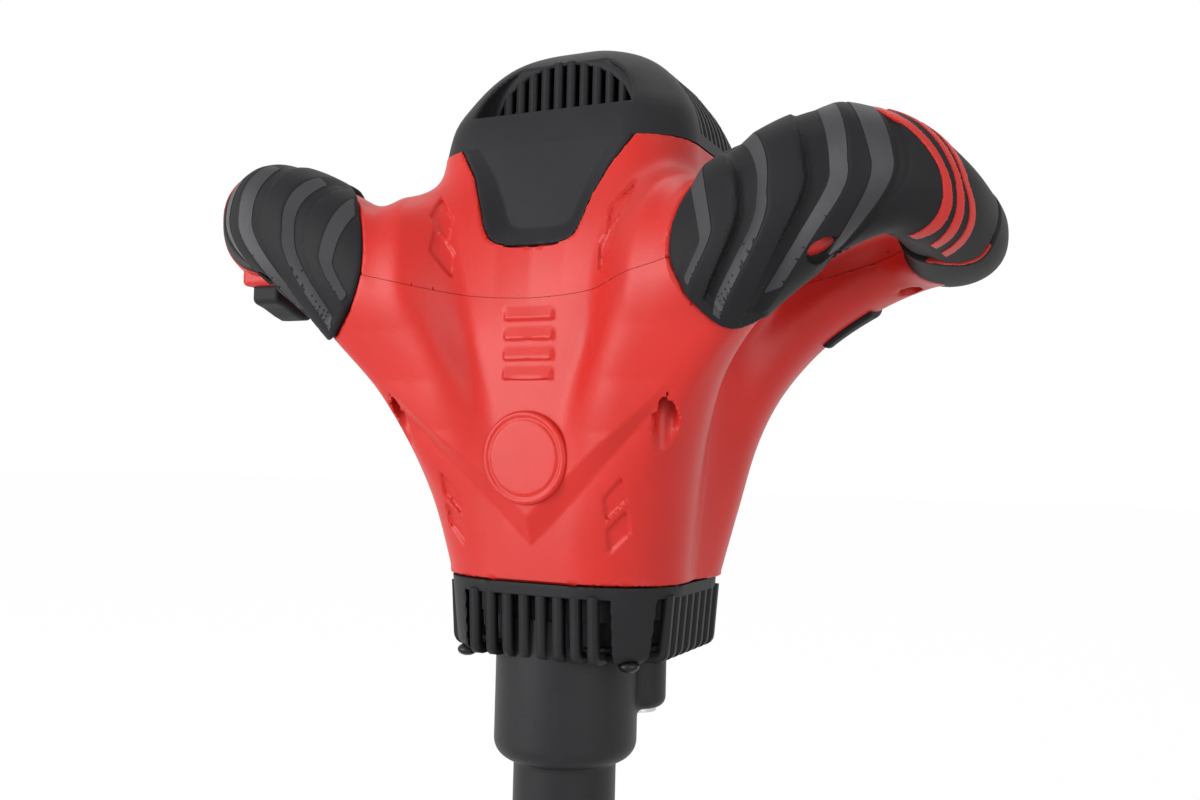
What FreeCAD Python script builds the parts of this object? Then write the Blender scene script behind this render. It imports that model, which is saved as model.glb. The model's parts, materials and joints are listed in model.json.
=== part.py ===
import FreeCAD, Part
import Sketcher
import math
import os
import re

# Two-handled mixing drill. The origin is the centre of the spindle socket's mouth, +Z runs up the
# spindle axis, -Y is the front and the trigger hand is on the -X side. Lengths are millimetres.

os.makedirs("parts", exist_ok=True)

SIZES = [
    # vertical stack, from the socket mouth up
    ("spindle_nose_length", "22"),
    ("neck_length", "40"),
    ("gear_nose_height", "44"),
    ("collar_height", "31"),
    ("housing_height", "178"),
    ("cap_height", "54"),
    ("axis_offset", "17"),
    # output spindle and its neck
    ("neck_radius", "21.5"),
    ("spindle_nose_radius", "12.5"),
    ("spindle_radius", "8.5"),
    ("socket_radius", "6"),
    ("socket_depth", "24"),
    ("spindle_bearing_radius", "17.5"),
    ("spindle_bearing_width", "10"),
    ("bearing_shoulder", "2"),
    ("seal_width", "7"),
    ("circlip_width", "1.6"),
    ("circlip_bite", "0.9"),
    ("circlip_depth", "2.4"),
    ("spindle_end_length", "3"),
    # gear case
    ("gear_nose_radius", "30"),
    ("nose_round", "8"),
    ("case_wall", "3"),
    ("boss_radius", "12"),
    ("boss_drop", "29"),
    ("flange_thickness", "3"),
    ("gear_room", "1.6"),
    ("axial_gap", "1"),
    ("running_clearance", "0.03"),
    ("seat_clearance", "0.3"),
    ("overrun", "4"),
    # gears
    ("gear_module", "1"),
    ("tooth_backlash", "0.12"),
    ("first_gear_width", "10"),
    ("second_gear_width", "12"),
    ("idler_radius", "4"),
    ("idler_bearing_radius", "8"),
    ("idler_bearing_width", "5"),
    # motor
    ("bracket_drop", "15"),
    ("bracket_thickness", "8"),
    ("bracket_rim", "0.5"),
    ("shaft_radius", "6"),
    ("shaft_top_radius", "5"),
    ("lower_bearing_radius", "14"),
    ("upper_bearing_radius", "13"),
    ("upper_bearing_width", "8"),
    ("bearing_lid", "2"),
    ("shield_recess", "0.6"),
    ("fan_radius", "41"),
    ("fan_hub_radius", "11"),
    ("fan_height", "13"),
    ("fan_plate", "2"),
    ("blade_thickness", "1.6"),
    ("fan_gap", "3"),
    ("sleeve_radius", "43"),
    ("sleeve_wall", "2.5"),
    ("sleeve_height", "102"),
    ("sleeve_window", "14"),
    ("stator_rise", "32"),
    ("stack_height", "50"),
    ("stator_bore", "25"),
    ("tooth_width", "8"),
    ("tooth_tip", "2.5"),
    ("slot_mouth", "2.4"),
    ("stator_yoke", "4"),
    ("coil_thickness", "3"),
    ("coil_gap", "0.5"),
    ("magnet_thickness", "2.7"),
    ("air_gap", "0.8"),
    # vent collar
    ("collar_half", "52"),
    ("collar_corner", "36"),
    ("shell_wall", "2.5"),
    ("collar_slot_width", "4.2"),
    ("collar_slot_pitch", "7.6"),
    ("collar_slot_margin", "5.2"),
    ("collar_ledge", "6"),
    ("collar_screw_place", "37"),
    ("post_radius", "5.5"),
    ("screw_radius", "2.5"),
    ("screw_head_radius", "4.2"),
    ("screw_head_height", "3.2"),
    ("collar_screw_bite", "14"),
    # housing shells
    ("handle_reach", "154"),
    ("handle_depth", "62"),
    ("handle_rise", "153"),
    ("handle_joint", "68"),
    ("grip_half", "20"),
    ("cover_thickness", "2"),
    ("pad_thickness", "4"),
    ("parting_height", "113"),
    ("parting_flat", "25"),
    ("boss_wall", "2.6"),
    ("screw_neck", "6"),
    ("screw_bite", "14"),
    ("handle_screw_bite", "7"),
    ("badge_radius", "19"),
    ("badge_thickness", "3"),
    # cap
    ("cap_slot_width", "3.2"),
    ("cap_slot_pitch", "6"),
    ("cap_brow", "13"),
    ("shield_drop", "43.3"),
    ("shield_proud", "3.5"),
    ("cap_screw_bite", "16"),
    ("cap_post_drop", "20"),
    # trigger, lock button and switch
    ("trigger_width", "16"),
    ("trigger_length", "26"),
    ("trigger_reach", "16"),
    ("trigger_lip", "2"),
    ("trigger_flange", "3"),
    ("trigger_travel", "6"),
    ("trigger_height", "133.5"),
    ("frame_wall", "2.2"),
    ("frame_skirt", "7"),
    ("switch_length", "24"),
    ("switch_height", "8"),
    ("spring_radius", "4"),
    ("spring_wire", "0.8"),
    ("spring_pocket", "8"),
    ("lock_radius", "4"),
    ("lock_lip", "0.8"),
    ("lock_flange", "1"),
    ("lock_travel", "1.6"),
    ("lock_proud", "4"),
    # speed dial and cable inlet on the back
    ("dial_radius", "12"),
    ("dial_width", "8"),
    ("dial_proud", "4"),
    ("dial_pin_radius", "2"),
    ("dial_gap", "0.4"),
    ("dial_height", "131"),
    ("cheek_thickness", "2.6"),
    ("cheek_reach", "9"),
    ("pot_width", "8"),
    ("knurl_depth", "0.7"),
    ("inlet_height", "160"),
    ("inlet_bore", "4.5"),
    ("inlet_wall", "3.5"),
    ("inlet_flange", "3"),
    ("inlet_length", "16"),
    ("inlet_boss_wall", "4"),
    ("inlet_boss_proud", "3"),
    # control electronics
    ("post_height", "42"),
    ("board_post_radius", "3"),
    ("board_length", "66"),
    ("board_width", "56"),
    ("board_thickness", "1.6"),
    ("board_post_inset", "6"),
    ("sink_length", "44"),
    ("sink_width", "34"),
    ("sink_height", "13"),
    ("sink_base", "3"),
    ("fin_thickness", "1.5"),
    ("capacitor_radius", "6"),
    ("capacitor_height", "17"),
]

# Tooth and copy counts.
PINION_TEETH = 8
IDLER_GEAR_TEETH = 40
IDLER_PINION_TEETH = 16
SPINDLE_GEAR_TEETH = 48
STATOR_TEETH = 12
MAGNETS = 8
FAN_BLADES = 17
SLEEVE_WINDOWS = 6
COLLAR_SLOTS = 9
CAP_FRONT_SLOTS = 11
CAP_SIDE_SLOTS = 9
SINK_FINS = 7

# Gear tooth shares of the module: short teeth, with the small gears shifted outwards.
ADDENDUM_SHARE = 0.85
DEDENDUM_SHARE = 1.15
FIRST_SHIFT_SHARE = 0.45
SECOND_SHIFT_SHARE = 0.20
PRESSURE_ANGLE = 20

document = FreeCAD.newDocument("mixing_drill")
sheet = document.addObject("Spreadsheet::Sheet", "Sizes")
for row, (alias, value) in enumerate(SIZES, start=1):
    sheet.set(f"A{row}", alias)
    sheet.set(f"B{row}", value)
    sheet.setAlias(f"B{row}", alias)
document.recompute()

ALIASES = {alias for alias, value in SIZES}
PIECES = []


def bound(expression):
    """The expression with every size name pointing at the sheet."""
    return re.sub(
        r"[a-z][a-z_]*",
        lambda word: "Sizes." + word.group(0) if word.group(0) in ALIASES else word.group(0),
        expression,
    )


def size(expression):
    """The present value of an expression in size names."""
    return float(sheet.evalExpression(expression))


def point(x, y, z):
    return FreeCAD.Vector(size(x), size(y), size(z))


def stand(item, x, y, z):
    """Bind an object's place to three expressions."""
    for letter, expression in zip("xyz", (x, y, z)):
        item.setExpression("Placement.Base." + letter, bound(expression))


TURNS = {
    "x": FreeCAD.Rotation(FreeCAD.Vector(0, 1, 0), 90),
    "-x": FreeCAD.Rotation(FreeCAD.Vector(0, 1, 0), -90),
    "y": FreeCAD.Rotation(FreeCAD.Vector(1, 0, 0), -90),
    "z": FreeCAD.Rotation(),
}


def cylinder(name, radius, height, x, y, z, axis="z", sweep=None, start=0):
    item = document.addObject("Part::Cylinder", name)
    item.setExpression("Radius", bound(radius))
    item.setExpression("Height", bound(height))
    turn = TURNS[axis]
    if sweep:
        item.Angle = sweep
        turn = FreeCAD.Rotation(FreeCAD.Vector(0, 0, 1), start)
    item.Placement = FreeCAD.Placement(FreeCAD.Vector(), turn)
    stand(item, x, y, z)
    return item


def box(name, length, width, height, x, y, z):
    """A block centred on x and y that stands on z."""
    item = document.addObject("Part::Box", name)
    item.setExpression("Length", bound(length))
    item.setExpression("Width", bound(width))
    item.setExpression("Height", bound(height))
    stand(item, f"{x} - ({length}) / 2", f"{y} - ({width}) / 2", z)
    return item


def fuse(name, items):
    item = document.addObject("Part::MultiFuse", name)
    item.Shapes = items
    return item


def cut(name, base, tools):
    item = document.addObject("Part::Cut", name)
    item.Base = base
    item.Tool = tools[0] if len(tools) == 1 else fuse(name + "_tools", tools)
    return item


def group(name, items):
    item = document.addObject("Part::Compound", name)
    item.Links = items
    return item


def feature(name, shape):
    item = document.addObject("Part::Feature", name)
    item.Shape = shape
    return item


def piece(label, item):
    """Enter a finished sub-part under the name of its node."""
    item.Label = label
    PIECES.append(item)
    return item


def origin_plane(body, role):
    return next(plane for plane in body.Origin.OriginFeatures if plane.Role == role)


def outline_sketch(body, plane, outline):
    """A closed outline of straight edges whose corners are held by expressions."""
    sketch = body.newObject("Sketcher::SketchObject", body.Name + "_outline")
    sketch.AttachmentSupport = [(origin_plane(body, plane), "")]
    sketch.MapMode = "FlatFace"
    corners = [FreeCAD.Vector(size(across), size(along), 0) for across, along in outline]
    count = len(corners)
    for index in range(count):
        sketch.addGeometry(Part.LineSegment(corners[index], corners[(index + 1) % count]), False)
    for index in range(count):
        sketch.addConstraint(Sketcher.Constraint("Coincident", index, 2, (index + 1) % count, 1))
    for index, corner in enumerate(outline):
        for kind, expression in zip(("DistanceX", "DistanceY"), corner):
            number = sketch.addConstraint(
                Sketcher.Constraint(kind, -1, 1, index, 1, size(expression)))
            sketch.setExpression(f"Constraints[{number}]", bound(expression))
    return sketch


def turned(name, outline, x, y, z, axis="z"):
    """A body turned about its own axis from (radius, height) corners."""
    body = document.addObject("PartDesign::Body", name)
    sketch = outline_sketch(body, "XZ_Plane", outline)
    revolution = body.newObject("PartDesign::Revolution", name + "_turn")
    revolution.Profile = sketch
    revolution.ReferenceAxis = (sketch, ["V_Axis"])
    revolution.Angle = 360
    body.Placement = FreeCAD.Placement(FreeCAD.Vector(), TURNS[axis])
    stand(body, x, y, z)
    return body


def padded(name, plane, outline, length, x, y, z, middle=False):
    """A body padded from a straight-edged outline."""
    body = document.addObject("PartDesign::Body", name)
    sketch = outline_sketch(body, plane, outline)
    pad = body.newObject("PartDesign::Pad", name + "_pad")
    pad.Profile = sketch
    pad.Midplane = middle
    pad.setExpression("Length", bound(length))
    stand(body, x, y, z)
    return body


def rectangle(length, width):
    return [
        (f"-({length}) / 2", f"-({width}) / 2"),
        (f"({length}) / 2", f"-({width}) / 2"),
        (f"({length}) / 2", f"({width}) / 2"),
        (f"-({length}) / 2", f"({width}) / 2"),
    ]


RACE_SHARE = 0.28


def bearing(label, bore, outer, width, x, y, z):
    """A shielded ball bearing: two races with the shields set back between them."""
    inner_race = f"({bore} + {RACE_SHARE} * ({outer} - {bore}))"
    outer_race = f"({outer} - {RACE_SHARE} * ({outer} - {bore}))"
    outline = [
        (bore, "0"), (inner_race, "0"), (inner_race, "shield_recess"),
        (outer_race, "shield_recess"), (outer_race, "0"), (outer, "0"),
        (outer, width), (outer_race, width), (outer_race, f"{width} - shield_recess"),
        (inner_race, f"{width} - shield_recess"), (inner_race, width), (bore, width),
    ]
    return piece(label, turned(label + "_body", outline, x, y, z))


def involute(angle):
    return math.tan(angle) - angle


def gear_shape(teeth, shift, bore, width, centre, phase):
    """A spur gear with involute flanks; one tooth points along phase, in degrees."""
    module = size("gear_module")
    pitch = module * teeth / 2
    pressure = math.radians(PRESSURE_ANGLE)
    base = pitch * math.cos(pressure)
    tip = pitch + module * (ADDENDUM_SHARE + shift)
    root = pitch - module * (DEDENDUM_SHARE - shift)
    thickness = module * (math.pi / 2 + 2 * shift * math.tan(pressure)) - size("tooth_backlash")

    def half_angle(radius):
        held = max(radius, base)
        return thickness / 2 / pitch + involute(pressure) - involute(math.acos(base / held))

    def at(radius, angle):
        return FreeCAD.Vector(radius * math.cos(angle), radius * math.sin(angle), 0)

    foot = max(root, base)
    flank_steps = 4
    flank = [foot + (tip - foot) * step / flank_steps for step in range(flank_steps + 1)]
    edges = []
    pitch_angle = 2 * math.pi / teeth
    for tooth in range(teeth):
        middle = math.radians(phase) + tooth * pitch_angle
        rising = [at(radius, middle - half_angle(radius)) for radius in flank]
        falling = [at(radius, middle + half_angle(radius)) for radius in reversed(flank)]
        low = at(root, middle - half_angle(foot))
        high = at(root, middle + half_angle(foot))
        next_low = at(root, middle + pitch_angle - half_angle(foot))
        curve = Part.BSplineCurve()
        curve.interpolate(rising)
        back = Part.BSplineCurve()
        back.interpolate(falling)
        if foot > root:
            edges.append(Part.LineSegment(low, rising[0]).toShape())
        edges.append(curve.toShape())
        edges.append(Part.Arc(rising[-1], at(tip, middle), falling[0]).toShape())
        edges.append(back.toShape())
        if foot > root:
            edges.append(Part.LineSegment(falling[-1], high).toShape())
        edges.append(Part.Arc(high, at(root, middle + pitch_angle / 2), next_low).toShape())
    blank = Part.Face(Part.Wire(edges)).extrude(FreeCAD.Vector(0, 0, width))
    if bore:
        blank = blank.cut(Part.makeCylinder(bore, width))
    blank.translate(centre)
    return blank


# Levels of the stack and the gear axes, as expressions in the sizes.
NECK_BOTTOM = "spindle_nose_length"
CASE_FLOOR = f"({NECK_BOTTOM} + neck_length)"
COLLAR_BOTTOM = f"({CASE_FLOOR} + gear_nose_height)"
COLLAR_TOP = f"({COLLAR_BOTTOM} + collar_height)"
HOUSING_TOP = f"({COLLAR_TOP} + housing_height)"
BRACKET_BOTTOM = f"({COLLAR_TOP} - bracket_drop)"
BRACKET_TOP = f"({BRACKET_BOTTOM} + bracket_thickness)"
FIRST_CENTRES = f"(gear_module * {PINION_TEETH + IDLER_GEAR_TEETH} / 2)"
SECOND_CENTRES = f"(gear_module * {IDLER_PINION_TEETH + SPINDLE_GEAR_TEETH} / 2)"
IDLER_Y = f"(({SECOND_CENTRES}^2 - {FIRST_CENTRES}^2 + axis_offset^2) / (2 * axis_offset))"
IDLER_X = f"sqrt({SECOND_CENTRES}^2 - {IDLER_Y}^2)"
IDLER_GEAR_TIP = f"(gear_module * ({IDLER_GEAR_TEETH} / 2 + {ADDENDUM_SHARE - FIRST_SHIFT_SHARE}))"
BOSS_BOTTOM = f"({COLLAR_BOTTOM} - boss_drop)"
IDLER_SEAT = f"({BOSS_BOTTOM} + case_wall)"
SECOND_GEAR_BOTTOM = f"({IDLER_SEAT} + idler_bearing_width + axial_gap)"
FIRST_GEAR_BOTTOM = f"({BRACKET_BOTTOM} - 2 * axial_gap - first_gear_width)"
CIRCLIP_BOTTOM = f"({NECK_BOTTOM} + seal_width)"
LOWER_BEARING = f"({CIRCLIP_BOTTOM} + circlip_width)"
CAVITY_FLOOR = f"({CASE_FLOOR} + spindle_bearing_width + axial_gap)"
MOTOR = ("0", "axis_offset")
IDLER = (IDLER_X, IDLER_Y)
SPINDLE = ("0", "0")

# Gear case: nose, idler boss and clamp neck in one casting, with a flange that lies in the collar.
# The nose has a bevelled lower edge where it meets the neck.
chamber_radius = f"({IDLER_GEAR_TIP} + gear_room)"
chamber_floor = f"({FIRST_GEAR_BOTTOM} - axial_gap)"
nose_outline = [
    ("0", "0"), ("neck_radius", "0"), ("neck_radius", "neck_length"),
    ("gear_nose_radius", "neck_length + nose_round"),
    ("gear_nose_radius", f"{BRACKET_BOTTOM} - {NECK_BOTTOM}"), ("0", f"{BRACKET_BOTTOM} - {NECK_BOTTOM}"),
]
case_body = fuse("gear_case_blank", [
    turned("gear_nose", nose_outline, *SPINDLE, NECK_BOTTOM),
    cylinder("idler_boss", "boss_radius", f"{BRACKET_BOTTOM} - {BOSS_BOTTOM}", *IDLER, BOSS_BOTTOM),
    cylinder("idler_chamber", f"{chamber_radius} + case_wall",
             f"{BRACKET_BOTTOM} - {COLLAR_BOTTOM} - flange_thickness", *IDLER,
             f"{COLLAR_BOTTOM} + flange_thickness"),
    cylinder("case_flange", "collar_half - shell_wall - collar_ledge / 2", "flange_thickness",
             *MOTOR, f"{COLLAR_BOTTOM} + flange_thickness"),
])
case_room = [
    cylinder("gear_room_nose", "gear_nose_radius - case_wall", f"{BRACKET_BOTTOM} - {CAVITY_FLOOR}",
             *SPINDLE, CAVITY_FLOOR),
    cylinder("gear_room_boss", "boss_radius - gear_room",
             f"{BRACKET_BOTTOM} - {SECOND_GEAR_BOTTOM} + axial_gap", *IDLER,
             f"{SECOND_GEAR_BOTTOM} - axial_gap"),
    cylinder("gear_room_idler", chamber_radius, f"{BRACKET_BOTTOM} - {chamber_floor}", *IDLER,
             chamber_floor),
    cylinder("idler_seat", "idler_bearing_radius", "idler_bearing_width", *IDLER, IDLER_SEAT),
    cylinder("upper_spindle_seat", "spindle_bearing_radius", f"{CAVITY_FLOOR} - {CASE_FLOOR}",
             *SPINDLE, CASE_FLOOR),
    cylinder("neck_bore", "spindle_bearing_radius - bearing_shoulder", "neck_length", *SPINDLE,
             NECK_BOTTOM),
    cylinder("lower_spindle_seat", "spindle_bearing_radius",
             f"{LOWER_BEARING} + spindle_bearing_width - {NECK_BOTTOM}", *SPINDLE, NECK_BOTTOM),
    cylinder("circlip_groove", "spindle_bearing_radius + circlip_bite", "circlip_width", *SPINDLE,
             CIRCLIP_BOTTOM),
]
CORNERS = [(-1, -1), (1, -1), (1, 1), (-1, 1)]
post_holes = [
    cylinder("flange_hole", "post_radius + seat_clearance", "flange_thickness + 2 * overrun",
             f"{sx} * collar_screw_place", f"axis_offset + {sy} * collar_screw_place",
             f"{COLLAR_BOTTOM} + flange_thickness - overrun")
    for sx, sy in CORNERS
]
piece("gear_case", cut("gear_case_cut", case_body, case_room + post_holes))

# Spindle with its tool socket, bearings, seal and the two retaining rings.
journal = "spindle_radius - running_clearance"
gear_top = f"({SECOND_GEAR_BOTTOM} + second_gear_width)"
spindle_top = f"({gear_top} + circlip_width + spindle_end_length)"
spindle_outline = [
    ("socket_radius", "0"), ("spindle_nose_radius", "0"),
    ("spindle_nose_radius", f"{LOWER_BEARING} - seat_clearance"),
    (journal, f"{LOWER_BEARING} - seat_clearance"), (journal, gear_top),
    (f"{journal} - circlip_bite", gear_top), (f"{journal} - circlip_bite", f"{gear_top} + circlip_width"),
    (journal, f"{gear_top} + circlip_width"), (journal, spindle_top), ("0", spindle_top),
    ("0", "socket_depth"), ("socket_radius", "socket_depth"),
]
piece("spindle", turned("spindle_body", spindle_outline, *SPINDLE, "0"))
bearing("lower_spindle_bearing", "spindle_radius", "spindle_bearing_radius", "spindle_bearing_width",
        *SPINDLE, LOWER_BEARING)
bearing("upper_spindle_bearing", "spindle_radius", "spindle_bearing_radius", "spindle_bearing_width",
        *SPINDLE, CASE_FLOOR)
seal_bore = "(spindle_nose_radius + running_clearance)"
seal_outline = [
    (seal_bore, "0"), ("spindle_bearing_radius", "0"), ("spindle_bearing_radius", "seal_width"),
    (f"({seal_bore} + spindle_bearing_radius) / 2", "seal_width"),
    (f"({seal_bore} + spindle_bearing_radius) / 2", "seal_width / 2"), (seal_bore, "seal_width / 2"),
]
piece("spindle_seal", turned("spindle_seal_body", seal_outline, *SPINDLE, NECK_BOTTOM))


def ring(label, inner, outer, width, x, y, z):
    outline = [(inner, "0"), (outer, "0"), (outer, width), (inner, width)]
    return piece(label, turned(label + "_body", outline, x, y, z))


ring("bearing_circlip", "spindle_bearing_radius - circlip_depth", "spindle_bearing_radius + circlip_bite",
     "circlip_width", *SPINDLE, CIRCLIP_BOTTOM)
ring("gear_circlip", f"{journal} - circlip_bite", f"{journal} + circlip_depth", "circlip_width",
     *SPINDLE, gear_top)

# Gear train: motor pinion to idler gear, idler pinion to spindle gear, each pair set tooth to gap.
first_angle = math.degrees(math.atan2(size(IDLER_Y) - size("axis_offset"), size(IDLER_X)))
second_angle = math.degrees(math.atan2(size(IDLER_Y), size(IDLER_X)))
HALF_TURN = 180
spindle_gear = gear_shape(SPINDLE_GEAR_TEETH, -SECOND_SHIFT_SHARE, size(journal),
                          size("second_gear_width"), point(*SPINDLE, SECOND_GEAR_BOTTOM), second_angle)
piece("spindle_gear", feature("spindle_gear_shape", spindle_gear))
idler_gear = gear_shape(IDLER_GEAR_TEETH, -FIRST_SHIFT_SHARE, size("idler_radius - running_clearance"),
                        size("first_gear_width"), point(*IDLER, FIRST_GEAR_BOTTOM),
                        first_angle + HALF_TURN)
piece("idler_gear", feature("idler_gear_shape", idler_gear))
idler_pinion = gear_shape(IDLER_PINION_TEETH, SECOND_SHIFT_SHARE, 0, size("second_gear_width"),
                          point(*IDLER, SECOND_GEAR_BOTTOM),
                          second_angle + HALF_TURN + HALF_TURN / IDLER_PINION_TEETH)
idler_top = f"({BRACKET_BOTTOM} + idler_bearing_width)"
idler_rod = cylinder("idler_rod", "idler_radius - running_clearance", f"{idler_top} - {IDLER_SEAT}",
                     *IDLER, IDLER_SEAT)
piece("idler_shaft", fuse("idler_shaft_fuse", [idler_rod, feature("idler_teeth", idler_pinion)]))
bearing("idler_lower_bearing", "idler_radius", "idler_bearing_radius", "idler_bearing_width", *IDLER,
        IDLER_SEAT)
bearing("idler_upper_bearing", "idler_radius", "idler_bearing_radius", "idler_bearing_width", *IDLER,
        BRACKET_BOTTOM)

# Motor bracket: lid of the gear case, with the lower rotor bearing, air windows and idler bearing.
sleeve_outer = "(sleeve_radius + sleeve_wall)"
bracket_blank = fuse("bracket_blank", [
    cylinder("bracket_disc", f"{sleeve_outer} + bracket_rim", "bracket_thickness", *MOTOR, BRACKET_BOTTOM),
    cylinder("bracket_lobe", f"{chamber_radius} + case_wall", "bracket_thickness", *IDLER, BRACKET_BOTTOM),
])
WINDOW_STARTS = (72, 132, 192, 252)
WINDOW_SWEEP = 36
window_inner = "(sleeve_radius - lower_bearing_radius / 2 - case_wall)"
windows = []
for start in WINDOW_STARTS:
    wedge = cylinder("bracket_window_wedge", "sleeve_radius - axial_gap",
                     "bracket_thickness + 2 * overrun", *MOTOR, f"{BRACKET_BOTTOM} - overrun",
                     sweep=WINDOW_SWEEP, start=start)
    core = cylinder("bracket_window_core", window_inner, "bracket_thickness + 4 * overrun", *MOTOR,
                    f"{BRACKET_BOTTOM} - 2 * overrun")
    windows.append(cut("bracket_window", wedge, [core]))
bracket_seats = [
    cylinder("lower_bearing_seat", "lower_bearing_radius", "bracket_thickness + 2 * overrun", *MOTOR,
             f"{BRACKET_BOTTOM} - overrun"),
    cylinder("idler_top_seat", "idler_bearing_radius", "idler_bearing_width + overrun", *IDLER,
             f"{BRACKET_BOTTOM} - overrun"),
]
piece("motor_bracket", cut("motor_bracket_cut", bracket_blank, bracket_seats + windows))
bearing("lower_rotor_bearing", "shaft_radius", "lower_bearing_radius", "bracket_thickness", *MOTOR,
        BRACKET_BOTTOM)

# Motor sleeve on the bracket: a tube with arched windows beside the fan, which holds the stator.
sleeve_outline = [
    ("sleeve_radius", "0"), (sleeve_outer, "0"), (sleeve_outer, "sleeve_height"),
    ("sleeve_radius", "sleeve_height"),
]
sleeve_windows = []
for index in range(SLEEVE_WINDOWS):
    wedge = cylinder("sleeve_window_wedge", f"{sleeve_outer} + overrun", "sleeve_window", *MOTOR,
                     f"{BRACKET_TOP} + fan_gap", sweep=WINDOW_SWEEP, start=index * 360 / SLEEVE_WINDOWS)
    sleeve_windows.append(wedge)
sleeve = turned("motor_sleeve_body", sleeve_outline, *MOTOR, BRACKET_TOP)
piece("motor_sleeve", cut("motor_sleeve_cut", sleeve, sleeve_windows))

# Stator: laminated ring with inward teeth, cut by one slot that is patterned round the axis.
STATOR_BOTTOM = f"({BRACKET_TOP} + stator_rise)"
SLEEVE_TOP = f"({BRACKET_TOP} + sleeve_height)"
stator_outline = [
    ("stator_bore", "0"), ("sleeve_radius", "0"), ("sleeve_radius", "stack_height"),
    ("stator_bore", "stack_height"),
]
stator = turned("stator_core_body", stator_outline, *MOTOR, STATOR_BOTTOM)
slot_low = "(stator_bore + tooth_tip)"
slot_high = "(sleeve_radius - stator_yoke)"
half_pitch = f"{180 / STATOR_TEETH} deg"
slot_low_half = f"({slot_low} * tan({half_pitch}) - tooth_width / 2 / cos({half_pitch}))"
slot_high_half = f"({slot_high} * tan({half_pitch}) - tooth_width / 2 / cos({half_pitch}))"
slot_outline = [
    ("stator_bore - overrun", "-slot_mouth / 2"), (slot_low, "-slot_mouth / 2"),
    (slot_low, f"-{slot_low_half}"), (slot_high, f"-{slot_high_half}"),
    (slot_high, slot_high_half), (slot_low, slot_low_half), (slot_low, "slot_mouth / 2"),
    ("stator_bore - overrun", "slot_mouth / 2"),
]
document.recompute()
slot_sketch = outline_sketch(stator, "XY_Plane", slot_outline)
slot_pocket = stator.newObject("PartDesign::Pocket", "stator_slot")
slot_pocket.Profile = slot_sketch
slot_pocket.Type = "ThroughAll"
slot_pocket.Reversed = True
slot_pattern = stator.newObject("PartDesign::PolarPattern", "stator_slots")
slot_pattern.Originals = [slot_pocket]
slot_pattern.Axis = (slot_sketch, ["N_Axis"])
slot_pattern.Angle = 360
slot_pattern.Occurrences = STATOR_TEETH
stator.Tip = slot_pattern
piece("stator_core", stator)

# Coils: one wound frame round each stator tooth.
coil_low = f"({slot_low} + coil_gap)"
coil_high = f"({slot_high} - coil_gap)"
coils = []
for index in range(STATOR_TEETH):
    frame = Part.makeBox(size(f"{coil_high} - {coil_low}"), size("tooth_width + 2 * coil_thickness"),
                         size("stack_height + 2 * coil_thickness"),
                         FreeCAD.Vector(size(coil_low), -size("tooth_width / 2 + coil_thickness"),
                                        -size("coil_thickness")))
    hole = Part.makeBox(size(f"{coil_high} - {coil_low}"), size("tooth_width"), size("stack_height"),
                        FreeCAD.Vector(size(coil_low), -size("tooth_width / 2"), 0))
    coil = frame.cut(hole)
    coil.rotate(FreeCAD.Vector(), FreeCAD.Vector(0, 0, 1), (index + 1 / 2) * 360 / STATOR_TEETH)
    coil.translate(point(*MOTOR, STATOR_BOTTOM))
    coils.append(coil)
piece("stator_windings", feature("stator_windings_shape", Part.makeCompound(coils)))

# End bracket on the sleeve, with the upper rotor bearing let in from below.
end_outline = [
    ("upper_bearing_radius", "0"), (sleeve_outer, "0"), (sleeve_outer, "upper_bearing_width"),
    ("upper_bearing_radius + 2 * case_wall", "upper_bearing_width"),
    ("upper_bearing_radius + 2 * case_wall", "upper_bearing_width + bearing_lid"),
    ("shaft_top_radius + axial_gap", "upper_bearing_width + bearing_lid"),
    ("shaft_top_radius + axial_gap", "upper_bearing_width"),
    ("upper_bearing_radius", "upper_bearing_width"),
]
piece("motor_end_bracket", turned("motor_end_bracket_body", end_outline, *MOTOR, SLEEVE_TOP))
bearing("upper_rotor_bearing", "shaft_top_radius", "upper_bearing_radius", "upper_bearing_width", *MOTOR,
        SLEEVE_TOP)

# Rotor: shaft with the pinion cut on its foot, laminated core, magnets and cooling fan.
rotor_journal = "shaft_radius - running_clearance"
shaft_step = f"({SLEEVE_TOP} - {BRACKET_BOTTOM})"
shaft_end = f"({shaft_step} + upper_bearing_width + axial_gap)"
shaft_outline = [
    ("0", "0"), (rotor_journal, "0"), (rotor_journal, shaft_step),
    ("shaft_top_radius - running_clearance", shaft_step),
    ("shaft_top_radius - running_clearance", shaft_end), ("0", shaft_end),
]
shaft_rod = turned("rotor_rod", shaft_outline, *MOTOR, f"{BRACKET_BOTTOM} - axial_gap")
pinion = gear_shape(PINION_TEETH, FIRST_SHIFT_SHARE, 0, size("first_gear_width + axial_gap"),
                    point(*MOTOR, FIRST_GEAR_BOTTOM), first_angle + HALF_TURN / PINION_TEETH)
piece("rotor_shaft", fuse("rotor_shaft_fuse", [shaft_rod, feature("pinion_teeth", pinion)]))
magnet_radius = "(stator_bore - air_gap)"
core_radius = f"({magnet_radius} - magnet_thickness)"
ring("rotor_core", rotor_journal, core_radius, "stack_height", *MOTOR, STATOR_BOTTOM)
MAGNET_SWEEP = 38
magnets = []
for index in range(MAGNETS):
    wedge = cylinder("magnet_wedge", magnet_radius, "stack_height", *MOTOR, STATOR_BOTTOM,
                     sweep=MAGNET_SWEEP, start=index * 360 / MAGNETS)
    core = cylinder("magnet_core", core_radius, "stack_height + 2 * overrun", *MOTOR,
                    f"{STATOR_BOTTOM} - overrun")
    magnets.append(cut("magnet", wedge, [core]))
piece("rotor_magnets", group("rotor_magnets_group", magnets))
FAN_BOTTOM = f"({BRACKET_TOP} + fan_gap)"
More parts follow.
